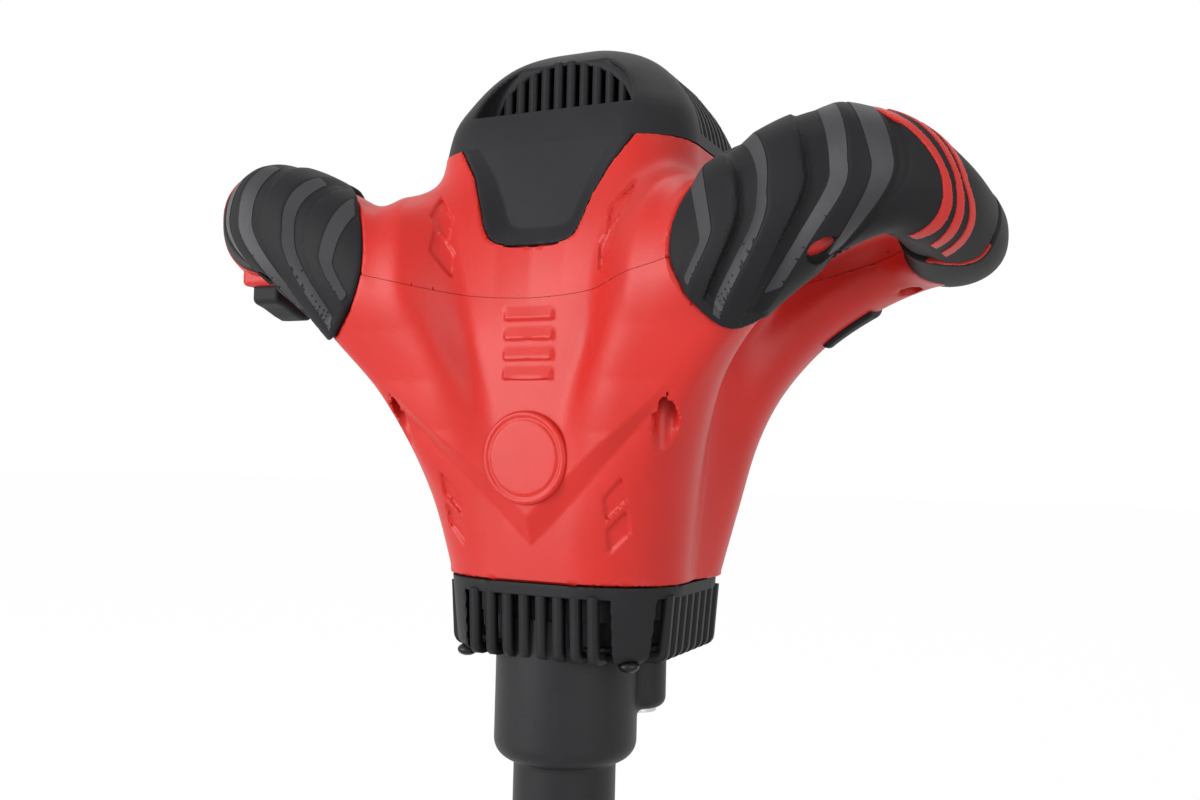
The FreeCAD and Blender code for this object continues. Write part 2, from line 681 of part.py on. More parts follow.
fan_outline = [
    (rotor_journal, "0"), ("fan_hub_radius", "0"), ("fan_hub_radius", "fan_height - fan_plate"),
    ("fan_radius", "fan_height - fan_plate"), ("fan_radius", "fan_height"), (rotor_journal, "fan_height"),
]
fan = turned("cooling_fan_body", fan_outline, *MOTOR, FAN_BOTTOM)
document.recompute()
blade_outline = [
    ("fan_hub_radius + case_wall", "-blade_thickness / 2"), ("fan_radius", "-blade_thickness / 2"),
    ("fan_radius", "blade_thickness / 2"), ("fan_hub_radius + case_wall", "blade_thickness / 2"),
]
blade_sketch = outline_sketch(fan, "XY_Plane", blade_outline)
blade = fan.newObject("PartDesign::Pad", "fan_blade")
blade.Profile = blade_sketch
blade.setExpression("Length", bound("fan_height"))
blades = fan.newObject("PartDesign::PolarPattern", "fan_blades")
blades.Originals = [blade]
blades.Axis = (blade_sketch, ["N_Axis"])
blades.Angle = 360
blades.Occurrences = FAN_BLADES
fan.Tip = blades
piece("cooling_fan", fan)

# Control board on four posts over the motor, with its heat sink and capacitors.
POST_BOTTOM = f"({SLEEVE_TOP} + upper_bearing_width)"
BOARD_BOTTOM = f"({POST_BOTTOM} + post_height)"
BOARD_TOP = f"({BOARD_BOTTOM} + board_thickness)"
posts = [
    cylinder("board_post", "board_post_radius", "post_height",
             f"{sx} * (board_length / 2 - board_post_inset)",
             f"axis_offset + {sy} * (board_width / 2 - board_post_inset)", POST_BOTTOM)
    for sx, sy in CORNERS
]
piece("board_posts", group("board_posts_group", posts))
piece("control_board", padded("control_board_body", "XY_Plane", rectangle("board_length", "board_width"),
                              "board_thickness", *MOTOR, BOARD_BOTTOM))
fins = [box("sink_plate", "sink_length", "sink_width", "sink_base", *MOTOR, BOARD_TOP)]
for index in range(SINK_FINS):
    along = f"(sink_length - fin_thickness) * ({index} / {SINK_FINS - 1} - 1 / 2)"
    fins.append(box("sink_fin", "fin_thickness", "sink_width", "sink_height", along, "axis_offset",
                    BOARD_TOP))
piece("heat_sink", fuse("heat_sink_fuse", fins))
capacitors = [
    cylinder("capacitor", "capacitor_radius", "capacitor_height",
             f"{side} * (capacitor_radius + axial_gap)",
             "axis_offset + sink_width / 2 + capacitor_radius + axial_gap", BOARD_TOP)
    for side in (-1, 1)
]
piece("capacitors", group("capacitors_group", capacitors))

# Outer form of the housing, whose halves are each parted into a body and two handles. The trunk is
# a stack of rounded squares, as shares of the housing's height, the collar's half side (across and
# deep) and the collar's corner radius.
TRUNK_SHARES = [
    (0.000, 1.000, 1.000, 1.00), (0.225, 1.030, 1.040, 1.00), (0.450, 1.095, 1.067, 0.94),
    (0.635, 1.190, 1.096, 0.89), (0.758, 1.210, 1.077, 0.89), (0.870, 1.135, 1.000, 0.89),
    (1.000, 1.040, 0.923, 0.89),
]
# One handle loop, from the front of the trunk out, back and in again: centre as shares of the
# handle's reach, depth and rise, heading and pitch of its path in degrees, and half width and half
# height as shares of the grip's half size.
LOOP_SHARES = [
    (0.160, -0.500, 0.040, -50, 85, 1.10, 0.65), (0.210, -0.600, 0.235, -45, 78, 1.15, 0.75),
    (0.290, -0.725, 0.445, -35, 66, 1.20, 0.95), (0.377, -0.855, 0.634, -20, 50, 1.15, 1.20),
    (0.487, -0.968, 0.790, -8, 33, 1.05, 1.40), (0.630, -1.000, 0.892, -2, 25, 1.00, 1.225),
    (0.773, -0.984, 0.967, 8, 20, 1.00, 1.075), (0.896, -0.871, 0.993, 42, 7, 1.00, 0.975),
    (0.964, -0.613, 0.970, 74, -9, 0.95, 0.90), (0.994, -0.290, 0.948, 86, -13, 0.95, 0.85),
    (1.000, 0.048, 0.918, 95, -13, 0.95, 0.825), (0.968, 0.355, 0.889, 118, -14, 0.95, 0.85),
    (0.857, 0.597, 0.850, 150, -18, 0.95, 0.90), (0.695, 0.710, 0.794, 168, -24, 0.95, 1.00),
    (0.532, 0.726, 0.706, 178, -36, 1.00, 1.05), (0.396, 0.694, 0.556, 195, -56, 1.05, 0.95),
    (0.300, 0.613, 0.379, 215, -70, 1.05, 0.75), (0.234, 0.532, 0.196, 225, -80, 1.10, 0.65),
    (0.182, 0.452, 0.026, 230, -85, 1.00, 0.55),
]


def rounded_section(level, half_x, half_y, corner, centre_y):
    """A rounded rectangle at one level, as a closed wire."""
    def at(x, y):
        return FreeCAD.Vector(x, centre_y + y, level)

    inset = corner * (1 - math.sqrt(1 / 2))
    edges = []
    for sx, sy in CORNERS:
        side = at(sx * half_x, sy * (half_y - corner))
        end = at(sx * (half_x - corner), sy * half_y)
        middle = at(sx * (half_x - inset), sy * (half_y - inset))
        first, last = (end, side) if sx * sy < 0 else (side, end)
        if edges:
            edges.append(Part.LineSegment(edges[-1].Vertexes[-1].Point, first).toShape())
        edges.append(Part.Arc(first, middle, last).toShape())
    edges.append(Part.LineSegment(edges[-1].Vertexes[-1].Point, edges[0].Vertexes[0].Point).toShape())
    return Part.Wire(edges)


def trunk(inset, overrun):
    """The trunk's form, drawn in by inset and lengthened at both ends by overrun."""
    sections = []
    last = len(TRUNK_SHARES) - 1
    for index, (level, across, deep, corner) in enumerate(TRUNK_SHARES):
        lift = {0: -overrun, last: overrun}.get(index, 0)
        sections.append(rounded_section(
            size(COLLAR_TOP) + level * size("housing_height") + lift,
            across * size("collar_half") - inset, deep * size("collar_half") - inset,
            corner * size("collar_corner") - inset, size("axis_offset")))
    return Part.makeLoft(sections, True, False, False, 3)


def between(before, here, there, after):
    """The point halfway along a smooth curve between two rows of a table."""
    return tuple((9 * (b + c) - a - d) / 16 for a, b, c, d in zip(before, here, there, after))


def smoothed(rows):
    """The rows with one more between each pair."""
    ends = [rows[0]] + list(rows) + [rows[-1]]
    result = []
    for index in range(1, len(rows)):
        result.append(ends[index])
        result.append(between(*ends[index - 1:index + 3]))
    result.append(rows[-1])
    return result


def loop_ring(row, inset):
    along, deep, rise, heading, pitch, width, height = row
    heading = math.radians(heading)
    pitch = math.radians(pitch)
    path = FreeCAD.Vector(math.cos(pitch) * math.cos(heading), math.cos(pitch) * math.sin(heading),
                          math.sin(pitch))
    side = FreeCAD.Vector(-math.sin(heading), math.cos(heading), 0)
    top = path.cross(side)
    side = side * (width * size("grip_half") - inset)
    top = top * (height * size("grip_half") - inset)
    centre = FreeCAD.Vector(along * size("handle_reach"), size("axis_offset") + deep * size("handle_depth"),
                            size(COLLAR_TOP) + rise * size("handle_rise"))
    foot = top * -1
    spread = FreeCAD.Matrix(foot.x, side.x, path.x, centre.x, foot.y, side.y, path.y, centre.y,
                            foot.z, side.z, path.z, centre.z, 0, 0, 0, 1)
    return Part.Wire(Part.makeCircle(1).transformGeometry(spread).Edges)


def handle_loop(inset, first=0, last=None):
    """The loop, or a stretch of it between two of its smoothed rings, drawn in by inset."""
    rows = smoothed(LOOP_SHARES)[first:last]
    return Part.makeLoft([loop_ring(row, inset) for row in rows], True, True)


def other_side(shape):
    return shape.mirror(FreeCAD.Vector(), FreeCAD.Vector(1, 0, 0))


def block(low, high):
    spread = high - low
    return Part.makeBox(spread.x, spread.y, spread.z, low)


def rod(radius, low, height, direction=FreeCAD.Vector(0, 0, 1)):
    return Part.makeCylinder(radius, height, low, direction)


wall = size("shell_wall")
cover = size("cover_thickness")
# The soft cover takes the loop between two of its rings and the bumper the stretch after it; there
# the red loop is thinner by the cover's thickness.
COVER_FIRST_RING = 9
COVER_LAST_RING = 21
BUMPER_LAST_RING = 24
bond = cover - size("running_clearance")
red_loop = handle_loop(cover).fuse(handle_loop(0, 0, COVER_FIRST_RING + 1))
red_loop = red_loop.fuse(handle_loop(0, BUMPER_LAST_RING))
outer_form = trunk(0, 0).fuse(red_loop).fuse(other_side(red_loop))
inner_loop = handle_loop(wall + cover)
inner_form = trunk(wall, size("overrun")).fuse(inner_loop).fuse(other_side(inner_loop))
plain_cover = handle_loop(0, COVER_FIRST_RING, COVER_LAST_RING + 1)
plain_cover = plain_cover.cut(handle_loop(bond, COVER_FIRST_RING, COVER_LAST_RING + 1))
plain_bumper = handle_loop(0, COVER_LAST_RING, BUMPER_LAST_RING + 1)
plain_bumper = plain_bumper.cut(handle_loop(bond, COVER_LAST_RING, BUMPER_LAST_RING + 1))
trigger_cover = other_side(plain_cover)
trigger_bumper = other_side(plain_bumper)

# Screw pillars: shares of the handle's reach and depth for the body, handle front and handle rear.
BODY_SCREW_SHARES = [(0.383, -0.935), (0.377, 0.71)]
HANDLE_SCREW_SHARES = [(0.792, -0.90), (0.850, 0.60)]


def pillar_places(shares):
    return [
        FreeCAD.Vector(side * across * size("handle_reach"),
                       size("axis_offset") + deep * size("handle_depth"), 0)
        for across, deep in shares for side in (-1, 1)
    ]


PARTING_SLOPE_SHARE = 0.23


def parting_level(x):
    """Height of the joint between the two shells: level in the middle, then rising outwards."""
    rise = max(0, abs(x) - size("parting_flat")) * PARTING_SLOPE_SHARE
    return size(COLLAR_TOP) + size("parting_height") + rise


pillar_radius = size("screw_head_radius + boss_wall")
tall = size(HOUSING_TOP)
pillars = [
    rod(pillar_radius, place, tall).common(outer_form)
    for place in pillar_places(BODY_SCREW_SHARES) + pillar_places(HANDLE_SCREW_SHARES)
]
shell = outer_form.cut(inner_form).fuse(pillars)

reach = size("handle_reach")
far = size("handle_reach + 2 * grip_half")
deep = size("handle_depth")
middle_y = size("axis_offset")

# Trigger seat: a rectangular frame in the lower shell that carries the switch and guides the trigger.
TRIGGER_ACROSS_SHARE = 0.978
TRIGGER_DEEP_SHARE = -0.45
TRIGGER_X = f"(-{TRIGGER_ACROSS_SHARE} * handle_reach)"
TRIGGER_Y = f"(axis_offset + {TRIGGER_DEEP_SHARE} * handle_depth)"
TRIGGER_SEAT = f"({COLLAR_TOP} + trigger_height)"
SWITCH_BOTTOM = f"({TRIGGER_SEAT} + trigger_flange + trigger_travel + axial_gap)"


def trigger_block(across, along, low, high):
    """A block round the trigger's axis, from its half sizes and two levels."""
    return block(point(f"{TRIGGER_X} - ({across})", f"{TRIGGER_Y} - ({along})", low),
                 point(f"{TRIGGER_X} + ({across})", f"{TRIGGER_Y} + ({along})", high))


room_across = "trigger_width / 2 + seat_clearance"
slot_along = "trigger_length / 2 + seat_clearance"
room_along = "trigger_length / 2 + trigger_lip + seat_clearance"
SWITCH_HALF = f"({room_across} + frame_wall / 2)"
seat_frame = trigger_block(f"{room_across} + frame_wall", f"{room_along} + frame_wall",
                           f"{TRIGGER_SEAT} - frame_skirt", SWITCH_BOTTOM)
seat_gap = trigger_block(f"{room_across} + frame_wall + seat_clearance",
                         f"{room_along} + frame_wall + seat_clearance",
                         f"{TRIGGER_SEAT} - frame_skirt - overrun", f"{SWITCH_BOTTOM} + seat_clearance")
seat_slot = trigger_block(room_across, slot_along, f"{TRIGGER_SEAT} - frame_skirt - overrun",
                          f"{TRIGGER_SEAT} + overrun")
seat_room = trigger_block(room_across, room_along, TRIGGER_SEAT, f"{SWITCH_BOTTOM} + overrun")

# Way of the lock-on button beside the switch: a hole for its shank and a room for its flange.
LOCK_Z = f"({SWITCH_BOTTOM} + switch_height / 2)"
ALONG_X = FreeCAD.Vector(1, 0, 0)
lock_gap = "(lock_travel + 2 * seat_clearance)"
lock_seat = point(f"{TRIGGER_X} + {SWITCH_HALF}", TRIGGER_Y, LOCK_Z)
lock_hole = rod(size("lock_radius + seat_clearance"), lock_seat, size("2 * grip_half"), ALONG_X)
lock_room = rod(size("lock_radius + lock_lip + seat_clearance"), lock_seat,
                size(f"{lock_gap} + lock_flange + seat_clearance"), ALONG_X)


def parted(half):
    """A half of the housing as its body and its two handles, which meet at the handle joints."""
    joint = size("handle_joint")
    plain_side = block(FreeCAD.Vector(joint, -2 * far, 0), FreeCAD.Vector(2 * far, 2 * far, 3 * tall))
    trigger_side = other_side(plain_side)
    inside = sorted(half.cut(plain_side).cut(trigger_side).Solids, key=lambda solid: solid.Volume)
    parts = [inside.pop()]
    for region, side in ((plain_side, 1), (trigger_side, -1)):
        limb_ends = [solid for solid in inside if solid.CenterOfMass.x * side > 0]
        handle = half.common(region)
        parts.append(handle.fuse(limb_ends) if limb_ends else handle)
    return parts


# Split at the parting joint.
upper_block = Part.Face(Part.makePolygon([
    FreeCAD.Vector(x, -2 * far, z) for x, z in (
        (-2 * far, parting_level(2 * far)), (-size("parting_flat"), parting_level(0)),
        (size("parting_flat"), parting_level(0)), (2 * far, parting_level(2 * far)),
        (2 * far, 3 * tall), (-2 * far, 3 * tall), (-2 * far, parting_level(2 * far)))
])).extrude(FreeCAD.Vector(0, 4 * far, 0))
lower = shell.cut(upper_block)
upper = shell.common(upper_block)

# Lower housing: screw recesses from below, the trigger seat, posts for the collar screws.
recess_radius = size("screw_head_radius + seat_clearance")
hole_radius = size("screw_radius + seat_clearance")
head_levels = []
for place in pillar_places(BODY_SCREW_SHARES) + pillar_places(HANDLE_SCREW_SHARES):
    seat = parting_level(place.x) - size("screw_neck")
    head_levels.append((place, seat))
    lower = lower.cut(rod(recess_radius, place, seat))
    lower = lower.cut(rod(hole_radius, place, tall))
body_count = len(pillar_places(BODY_SCREW_SHARES))
screw_lengths = [
    size("screw_neck + screw_bite") if index < body_count else size("screw_neck + handle_screw_bite")
    for index in range(len(head_levels))
]
for (place, seat), length in zip(head_levels, screw_lengths):
    upper = upper.cut(rod(size("screw_radius"), place, seat + length))
lower = lower.fuse(seat_frame).cut(seat_slot).cut(seat_room).cut(lock_room)
collar_top = size(COLLAR_TOP)
trunk_room = trunk(0, 0)
screw_place = size("collar_screw_place")
for sx, sy in CORNERS:
    place = FreeCAD.Vector(sx * screw_place, middle_y + sy * screw_place, collar_top)
    post = rod(size("post_radius"), place, size("collar_screw_bite + case_wall"))
    lower = lower.fuse(post.common(trunk_room))
    lower = lower.cut(rod(size("screw_radius"), place, size("collar_screw_bite")))
for label, shape in zip(("lower_housing", "plain_lower_handle", "trigger_lower_handle"), parted(lower)):
    piece(label, feature(label + "_shape", shape))

# Upper housing: screw posts for the cap, cheeks for the speed dial, boss for the cable inlet.
CAP_SCREW_SHARES = (0.865, 0.654)
cap_places = [
    FreeCAD.Vector(sx * CAP_SCREW_SHARES[0] * size("collar_half"),
                   middle_y + sy * CAP_SCREW_SHARES[1] * size("collar_half"), 0)
    for sx, sy in CORNERS
]
for place in cap_places:
    foot = place + FreeCAD.Vector(0, 0, size(f"{HOUSING_TOP} - cap_post_drop"))
    post = rod(size("post_radius"), foot, size("cap_post_drop"))
    upper = upper.fuse(post.common(trunk_room))
    pilot = place + FreeCAD.Vector(0, 0, size(f"{HOUSING_TOP} - cap_screw_bite"))
    upper = upper.cut(rod(size("screw_radius"), pilot, size("cap_screw_bite + overrun")))


def back_wall(height):
    """Where the trunk's back wall stands at a height above the collar."""
    line = Part.LineSegment(FreeCAD.Vector(0, middle_y, collar_top + height),
                            FreeCAD.Vector(0, middle_y + far, collar_top + height)).toShape()
    return line.common(trunk_room).BoundBox.YMax


dial_back = back_wall(size("dial_height"))
dial_y = dial_back + size("dial_proud - dial_radius")
dial_z = collar_top + size("dial_height")
half_dial = size("dial_width / 2 + dial_gap")
cheek = size("cheek_thickness")
cheek_tall = size("dial_radius - cheek_thickness")
cheek_low = dial_y - size("cheek_reach") / 2
for side in (-1, 1):
    inner_x, outer_x = sorted((side * half_dial, side * (half_dial + cheek)))
    plate = block(FreeCAD.Vector(inner_x, cheek_low, dial_z - cheek_tall),
                  FreeCAD.Vector(outer_x, dial_back - wall / 2, dial_z + cheek_tall))
    upper = upper.fuse(plate)
dial_slot = block(
    FreeCAD.Vector(-half_dial, cheek_low, dial_z - size("dial_radius + axial_gap")),
    FreeCAD.Vector(half_dial, dial_back + size("overrun"), dial_z + size("dial_radius + axial_gap")))
pin_hole = rod(size("dial_pin_radius"), FreeCAD.Vector(-half_dial - cheek, dial_y, dial_z),
               2 * (half_dial + cheek), FreeCAD.Vector(1, 0, 0))
upper = upper.cut(dial_slot).cut(pin_hole)
inlet_radius = size("inlet_bore + inlet_wall")
inlet_z = collar_top + size("inlet_height")
inlet_face = back_wall(size("inlet_height")) + size("inlet_boss_proud")
inlet_deep = size("inlet_length - inlet_flange")
inlet_boss = rod(inlet_radius + size("inlet_boss_wall"),
                 FreeCAD.Vector(0, inlet_face - inlet_deep / 2, inlet_z), inlet_deep / 2,
                 FreeCAD.Vector(0, 1, 0))
inlet_hole = rod(inlet_radius, FreeCAD.Vector(0, inlet_face - 2 * inlet_deep, inlet_z), 3 * inlet_deep,
                 FreeCAD.Vector(0, 1, 0))
upper = upper.fuse(inlet_boss).cut(inlet_hole).cut(lock_hole).cut(lock_room)
upper = upper.cut(trigger_block(f"{room_across} + frame_wall + seat_clearance",
                                f"{room_along} + frame_wall + seat_clearance",
                                f"{TRIGGER_SEAT} - frame_skirt", f"{SWITCH_BOTTOM} + seat_clearance"))
for label, shape in zip(("upper_housing", "plain_upper_handle", "trigger_upper_handle"), parted(upper)):
    piece(label, feature(label + "_shape", shape))

# Soft covers and bumpers, open where the handle screws, the trigger seat and the lock button pass.
for place, seat in head_levels:
    passage = rod(recess_radius, place, seat + size("screw_neck"))
    plain_cover = plain_cover.cut(passage)
    plain_bumper = plain_bumper.cut(passage)
    trigger_cover = trigger_cover.cut(passage)
    trigger_bumper = trigger_bumper.cut(passage)
piece("plain_grip_cover", feature("plain_grip_cover_shape", plain_cover))
piece("plain_bumper", feature("plain_bumper_shape", plain_bumper))
trigger_cover = trigger_cover.cut(seat_gap).cut(lock_hole)
piece("trigger_grip_cover", feature("trigger_grip_cover_shape", trigger_cover))
piece("trigger_bumper", feature("trigger_bumper_shape", trigger_bumper))

# Rest pads: thick rubber patches on the backs of the two rear limbs.
PAD_SHARES = (0.58, 0.71, 0.66, 0.64, 0.80)
PAD_FIRST_RING = 25
PAD_LAST_RING = 29
pad_zone = block(
    FreeCAD.Vector(PAD_SHARES[0] * reach, middle_y + PAD_SHARES[2] * deep,
                   collar_top + PAD_SHARES[3] * size("handle_rise")),
    FreeCAD.Vector(PAD_SHARES[1] * reach, middle_y + far, collar_top + PAD_SHARES[4] * size("handle_rise")))
pad = handle_loop(-size("pad_thickness"), PAD_FIRST_RING, PAD_LAST_RING + 1).common(pad_zone).cut(outer_form)
pad = max(pad.Solids, key=lambda solid: solid.Volume)
piece("rest_pads", feature("rest_pads_shape", Part.makeCompound([pad, other_side(pad)])))


def screw(place, head_bottom, length, head_up):
    """A round-headed screw; its head points up or down."""
    turn = 1 if head_up else -1
    up = FreeCAD.Vector(0, 0, turn)
    seat = FreeCAD.Vector(place.x, place.y, head_bottom)
    head = rod(size("screw_head_radius"), seat, size("screw_head_height"), up)
    shank = rod(size("screw_radius"), seat, length, up * -1)
    socket = rod(size("screw_radius") * SOCKET_SHARE, seat + up * size("screw_head_height / 2"),
                 size("screw_head_height"), up)
    return head.fuse(shank).cut(socket)


SOCKET_SHARE = 0.75
screws = [screw(place, seat, length, False) for (place, seat), length in zip(head_levels, screw_lengths)]
piece("body_screws", feature("body_screws_shape", Part.makeCompound(screws[:body_count])))
piece("handle_screws", feature("handle_screws_shape", Part.makeCompound(screws[body_count:])))

# Front badge place: a plain round plate on the front wall.
BADGE_RISE_SHARE = 0.44
badge_z = collar_top + BADGE_RISE_SHARE * size("parting_height")
badge = rod(size("badge_radius"), FreeCAD.Vector(0, middle_y - far, badge_z), far, FreeCAD.Vector(0, 1, 0))
badge_layer = trunk(-size("badge_thickness"), 0).cut(trunk_room)
badge = badge.common(badge_layer).cut(outer_form)
piece("front_badge", feature("front_badge_shape", max(badge.Solids, key=lambda solid: solid.Volume)))

# Vent collar: rounded square ring with upright slots, an inner ledge and four screw posts.
collar_bottom = size(COLLAR_BOTTOM)
half = size("collar_half")
corner = size("collar_corner")


def collar_block(inset, low, high):
    section = rounded_section(low, half - inset, half - inset, corner - inset, middle_y)
    return Part.Face(section).extrude(FreeCAD.Vector(0, 0, high - low))


collar_solid = collar_block(0, collar_bottom, collar_top)
collar = collar_solid.cut(collar_block(wall, collar_bottom - wall, collar_top + wall))
slot_top = collar_top - size("collar_slot_margin")
for index in range(COLLAR_SLOTS):
    along = (index - (COLLAR_SLOTS - 1) / 2) * size("collar_slot_pitch")
    slot_half = size("collar_slot_width / 2")
    collar = collar.cut(block(FreeCAD.Vector(along - slot_half, middle_y - 2 * half, 0),
                              FreeCAD.Vector(along + slot_half, middle_y + 2 * half, slot_top)))
    collar = collar.cut(block(FreeCAD.Vector(-2 * half, middle_y + along - slot_half, 0),
                              FreeCAD.Vector(2 * half, middle_y + along + slot_half, slot_top)))
ledge = collar_block(size("collar_ledge / 2"), collar_bottom, collar_bottom + size("flange_thickness"))
nose_hole = rod(size("gear_nose_radius + seat_clearance"), FreeCAD.Vector(0, 0, 0), tall)
boss_hole = rod(size("boss_radius + seat_clearance"), point(*IDLER, "0"), tall)
ledge = ledge.cut(nose_hole).cut(boss_hole)
collar = collar.fuse(ledge)
collar_screws = []
for sx, sy in CORNERS:
    place = FreeCAD.Vector(sx * screw_place, middle_y + sy * screw_place, collar_bottom)
    post = rod(size("post_radius"), place, size("collar_height")).common(collar_solid)
    collar = collar.fuse(post).cut(rod(size("screw_radius"), place, size("collar_height")))
    collar_screws.append(screw(place, collar_bottom, size("collar_height + collar_screw_bite"), False))
piece("vent_collar", feature("vent_collar_shape", collar.removeSplitter()))
piece("collar_screws", feature("collar_screws_shape", Part.makeCompound(collar_screws)))

# Motor cap: a domed lid, as shares of the cap's height and, for half width, front and back, of the
# collar's half side; the last share is the corner radius.
CAP_SHARES = [
    (0.000, 1.040, 0.923, 0.923, 0.62), (0.24, 1.000, 0.885, 0.960, 0.58), (0.50, 0.940, 0.770, 0.960, 0.52),
    (0.78, 0.770, 0.635, 0.885, 0.42), (0.94, 0.540, 0.480, 0.730, 0.32), (1.000, 0.310, 0.290, 0.500, 0.20),
]


def cap_form(inset, overrun):
    sections = []
    for index, (level, across, front, back, round_share) in enumerate(CAP_SHARES):
        lift = -overrun if index == 0 else -inset
        half_deep = (front + back) / 2 * half - inset
        sections.append(rounded_section(
            size(HOUSING_TOP) + level * size("cap_height") + lift,
            across * half - inset, half_deep, round_share * half - inset / 2,
            middle_y + (back - front) / 2 * half))
    return Part.makeLoft(sections, True, True)


housing_top = size(HOUSING_TOP)
cap_outer = cap_form(0, 0)
cap_posts = [rod(size("post_radius"), place, 2 * tall).common(cap_outer) for place in cap_places]
cap = cap_outer.cut(cap_form(wall, size("overrun"))).fuse(cap_posts)
brow = housing_top + size("cap_brow")
slot_half = size("cap_slot_width / 2")
CAP_SLOT_SHARE = 0.86
for index in range(CAP_FRONT_SLOTS):
    along = (index - (CAP_FRONT_SLOTS - 1) / 2) * size("cap_slot_pitch")
    top = brow + (size("cap_height") * CAP_SLOT_SHARE - size("cap_brow")) * (1 - (along / half) ** 2)
    cap = cap.cut(block(FreeCAD.Vector(along - slot_half, middle_y - 2 * half, brow + wall),
                        FreeCAD.Vector(along + slot_half, middle_y - half / 3, top)))
CAP_SIDE_SHARES = (0.10, 0.52)
side_low = housing_top + CAP_SIDE_SHARES[0] * size("cap_height")
side_high = housing_top + CAP_SIDE_SHARES[1] * size("cap_height")
for index in range(CAP_SIDE_SLOTS):
    along = middle_y + (index - (CAP_SIDE_SLOTS - 1) / 2) * size("cap_slot_pitch")
    side_slot = block(FreeCAD.Vector(-2 * half, along - slot_half, side_low),
                      FreeCAD.Vector(2 * half, along + slot_half, side_high))
    cap = cap.cut(side_slot)
cap_screw_list = []
head_seat = housing_top + size("case_wall")
for place in cap_places:
    cap = cap.cut(rod(recess_radius, place + FreeCAD.Vector(0, 0, head_seat), tall))
    cap = cap.cut(rod(hole_radius, place, 2 * tall))
    cap_screw_list.append(screw(place, head_seat, size("case_wall + cap_screw_bite"), True))
cap = max(cap.Solids, key=lambda solid: solid.Volume)
piece("motor_cap", feature("motor_cap_shape", cap))
piece("cap_screws", feature("cap_screws_shape", Part.makeCompound(cap_screw_list)))

# Front shield: a tongue that hangs from the cap's brow down the front of the upper housing.
SHIELD_SHARES = [(-0.375, 1.0), (0.375, 1.0), (0.48, 0.78), (0.66, 0.0), (-0.66, 0.0), (-0.48, 0.78)]
shield_corners = [
    FreeCAD.Vector(across * half, middle_y - far, housing_top - drop * size("shield_drop"))
    for across, drop in SHIELD_SHARES
]
shield = Part.Face(Part.makePolygon(shield_corners + shield_corners[:1]))
shield = shield.extrude(FreeCAD.Vector(0, far, 0))
shield = shield.common(trunk(-size("shield_proud"), 0).cut(trunk_room)).cut(outer_form)
shield = max(shield.Solids, key=lambda solid: solid.Volume)
piece("cap_shield", feature("cap_shield_shape", shield))

# Trigger: a finger block with end lips that rest on the seat, pushed down by a spring.
TRIGGER_FACE_SHARES = (0.94, 0.62)
half_length = "trigger_length / 2"
trigger_outline = [
    (f"-{half_length}", "-trigger_reach"),
    (f"{half_length} / 3", f"-trigger_reach * {TRIGGER_FACE_SHARES[0]}"),
    (half_length, f"-trigger_reach * {TRIGGER_FACE_SHARES[1]}"),
    (half_length, "0"), (f"{half_length} + trigger_lip", "0"),
    (f"{half_length} + trigger_lip", "trigger_flange"), (f"-{half_length} - trigger_lip", "trigger_flange"),
    (f"-{half_length} - trigger_lip", "0"), (f"-{half_length}", "0"),
]
trigger_blank = padded("trigger_blank", "YZ_Plane", trigger_outline, "trigger_width", TRIGGER_X, TRIGGER_Y,
                       TRIGGER_SEAT, middle=True)
spring_pocket = cylinder("trigger_pocket", "spring_radius + seat_clearance", "spring_pocket", TRIGGER_X,
                         TRIGGER_Y, f"{TRIGGER_SEAT} + trigger_flange - spring_pocket")
piece("trigger", cut("trigger_cut", trigger_blank, [spring_pocket]))
ring("trigger_spring", "spring_radius - spring_wire", "spring_radius",
     "spring_pocket + trigger_travel + axial_gap", TRIGGER_X, TRIGGER_Y,
     f"{TRIGGER_SEAT} + trigger_flange - spring_pocket")
piece("switch_module", padded("switch_module_body", "XY_Plane",
                              rectangle(f"2 * {SWITCH_HALF}", "switch_length"), "switch_height",
                              TRIGGER_X, TRIGGER_Y, SWITCH_BOTTOM))

# Lock-on button on the inner side of the trigger limb, with its return spring.
LOCK_X = f"({TRIGGER_X} + {SWITCH_HALF} + {lock_gap})"
LIMB_HALF_SHARE = 0.95
lock_length = f"(grip_half * {LIMB_HALF_SHARE} + lock_proud - {SWITCH_HALF} - {lock_gap})"
lock_outline = [
    ("0", "0"), ("lock_radius + lock_lip", "0"), ("lock_radius + lock_lip", "lock_flange"),
    ("lock_radius", "lock_flange"), ("lock_radius", f"{lock_length} - axial_gap"),
    ("lock_radius - axial_gap", lock_length), ("0", lock_length),
]
piece("lock_button", turned("lock_button_body", lock_outline, LOCK_X, TRIGGER_Y, LOCK_Z, axis="x"))
lock_spring_outline = [
    ("lock_radius - spring_wire", "0"), ("lock_radius", "0"), ("lock_radius", lock_gap),
    ("lock_radius - spring_wire", lock_gap),
]
piece("lock_spring", turned("lock_spring_body", lock_spring_outline, f"{TRIGGER_X} + {SWITCH_HALF}",
                            TRIGGER_Y, LOCK_Z, axis="x"))

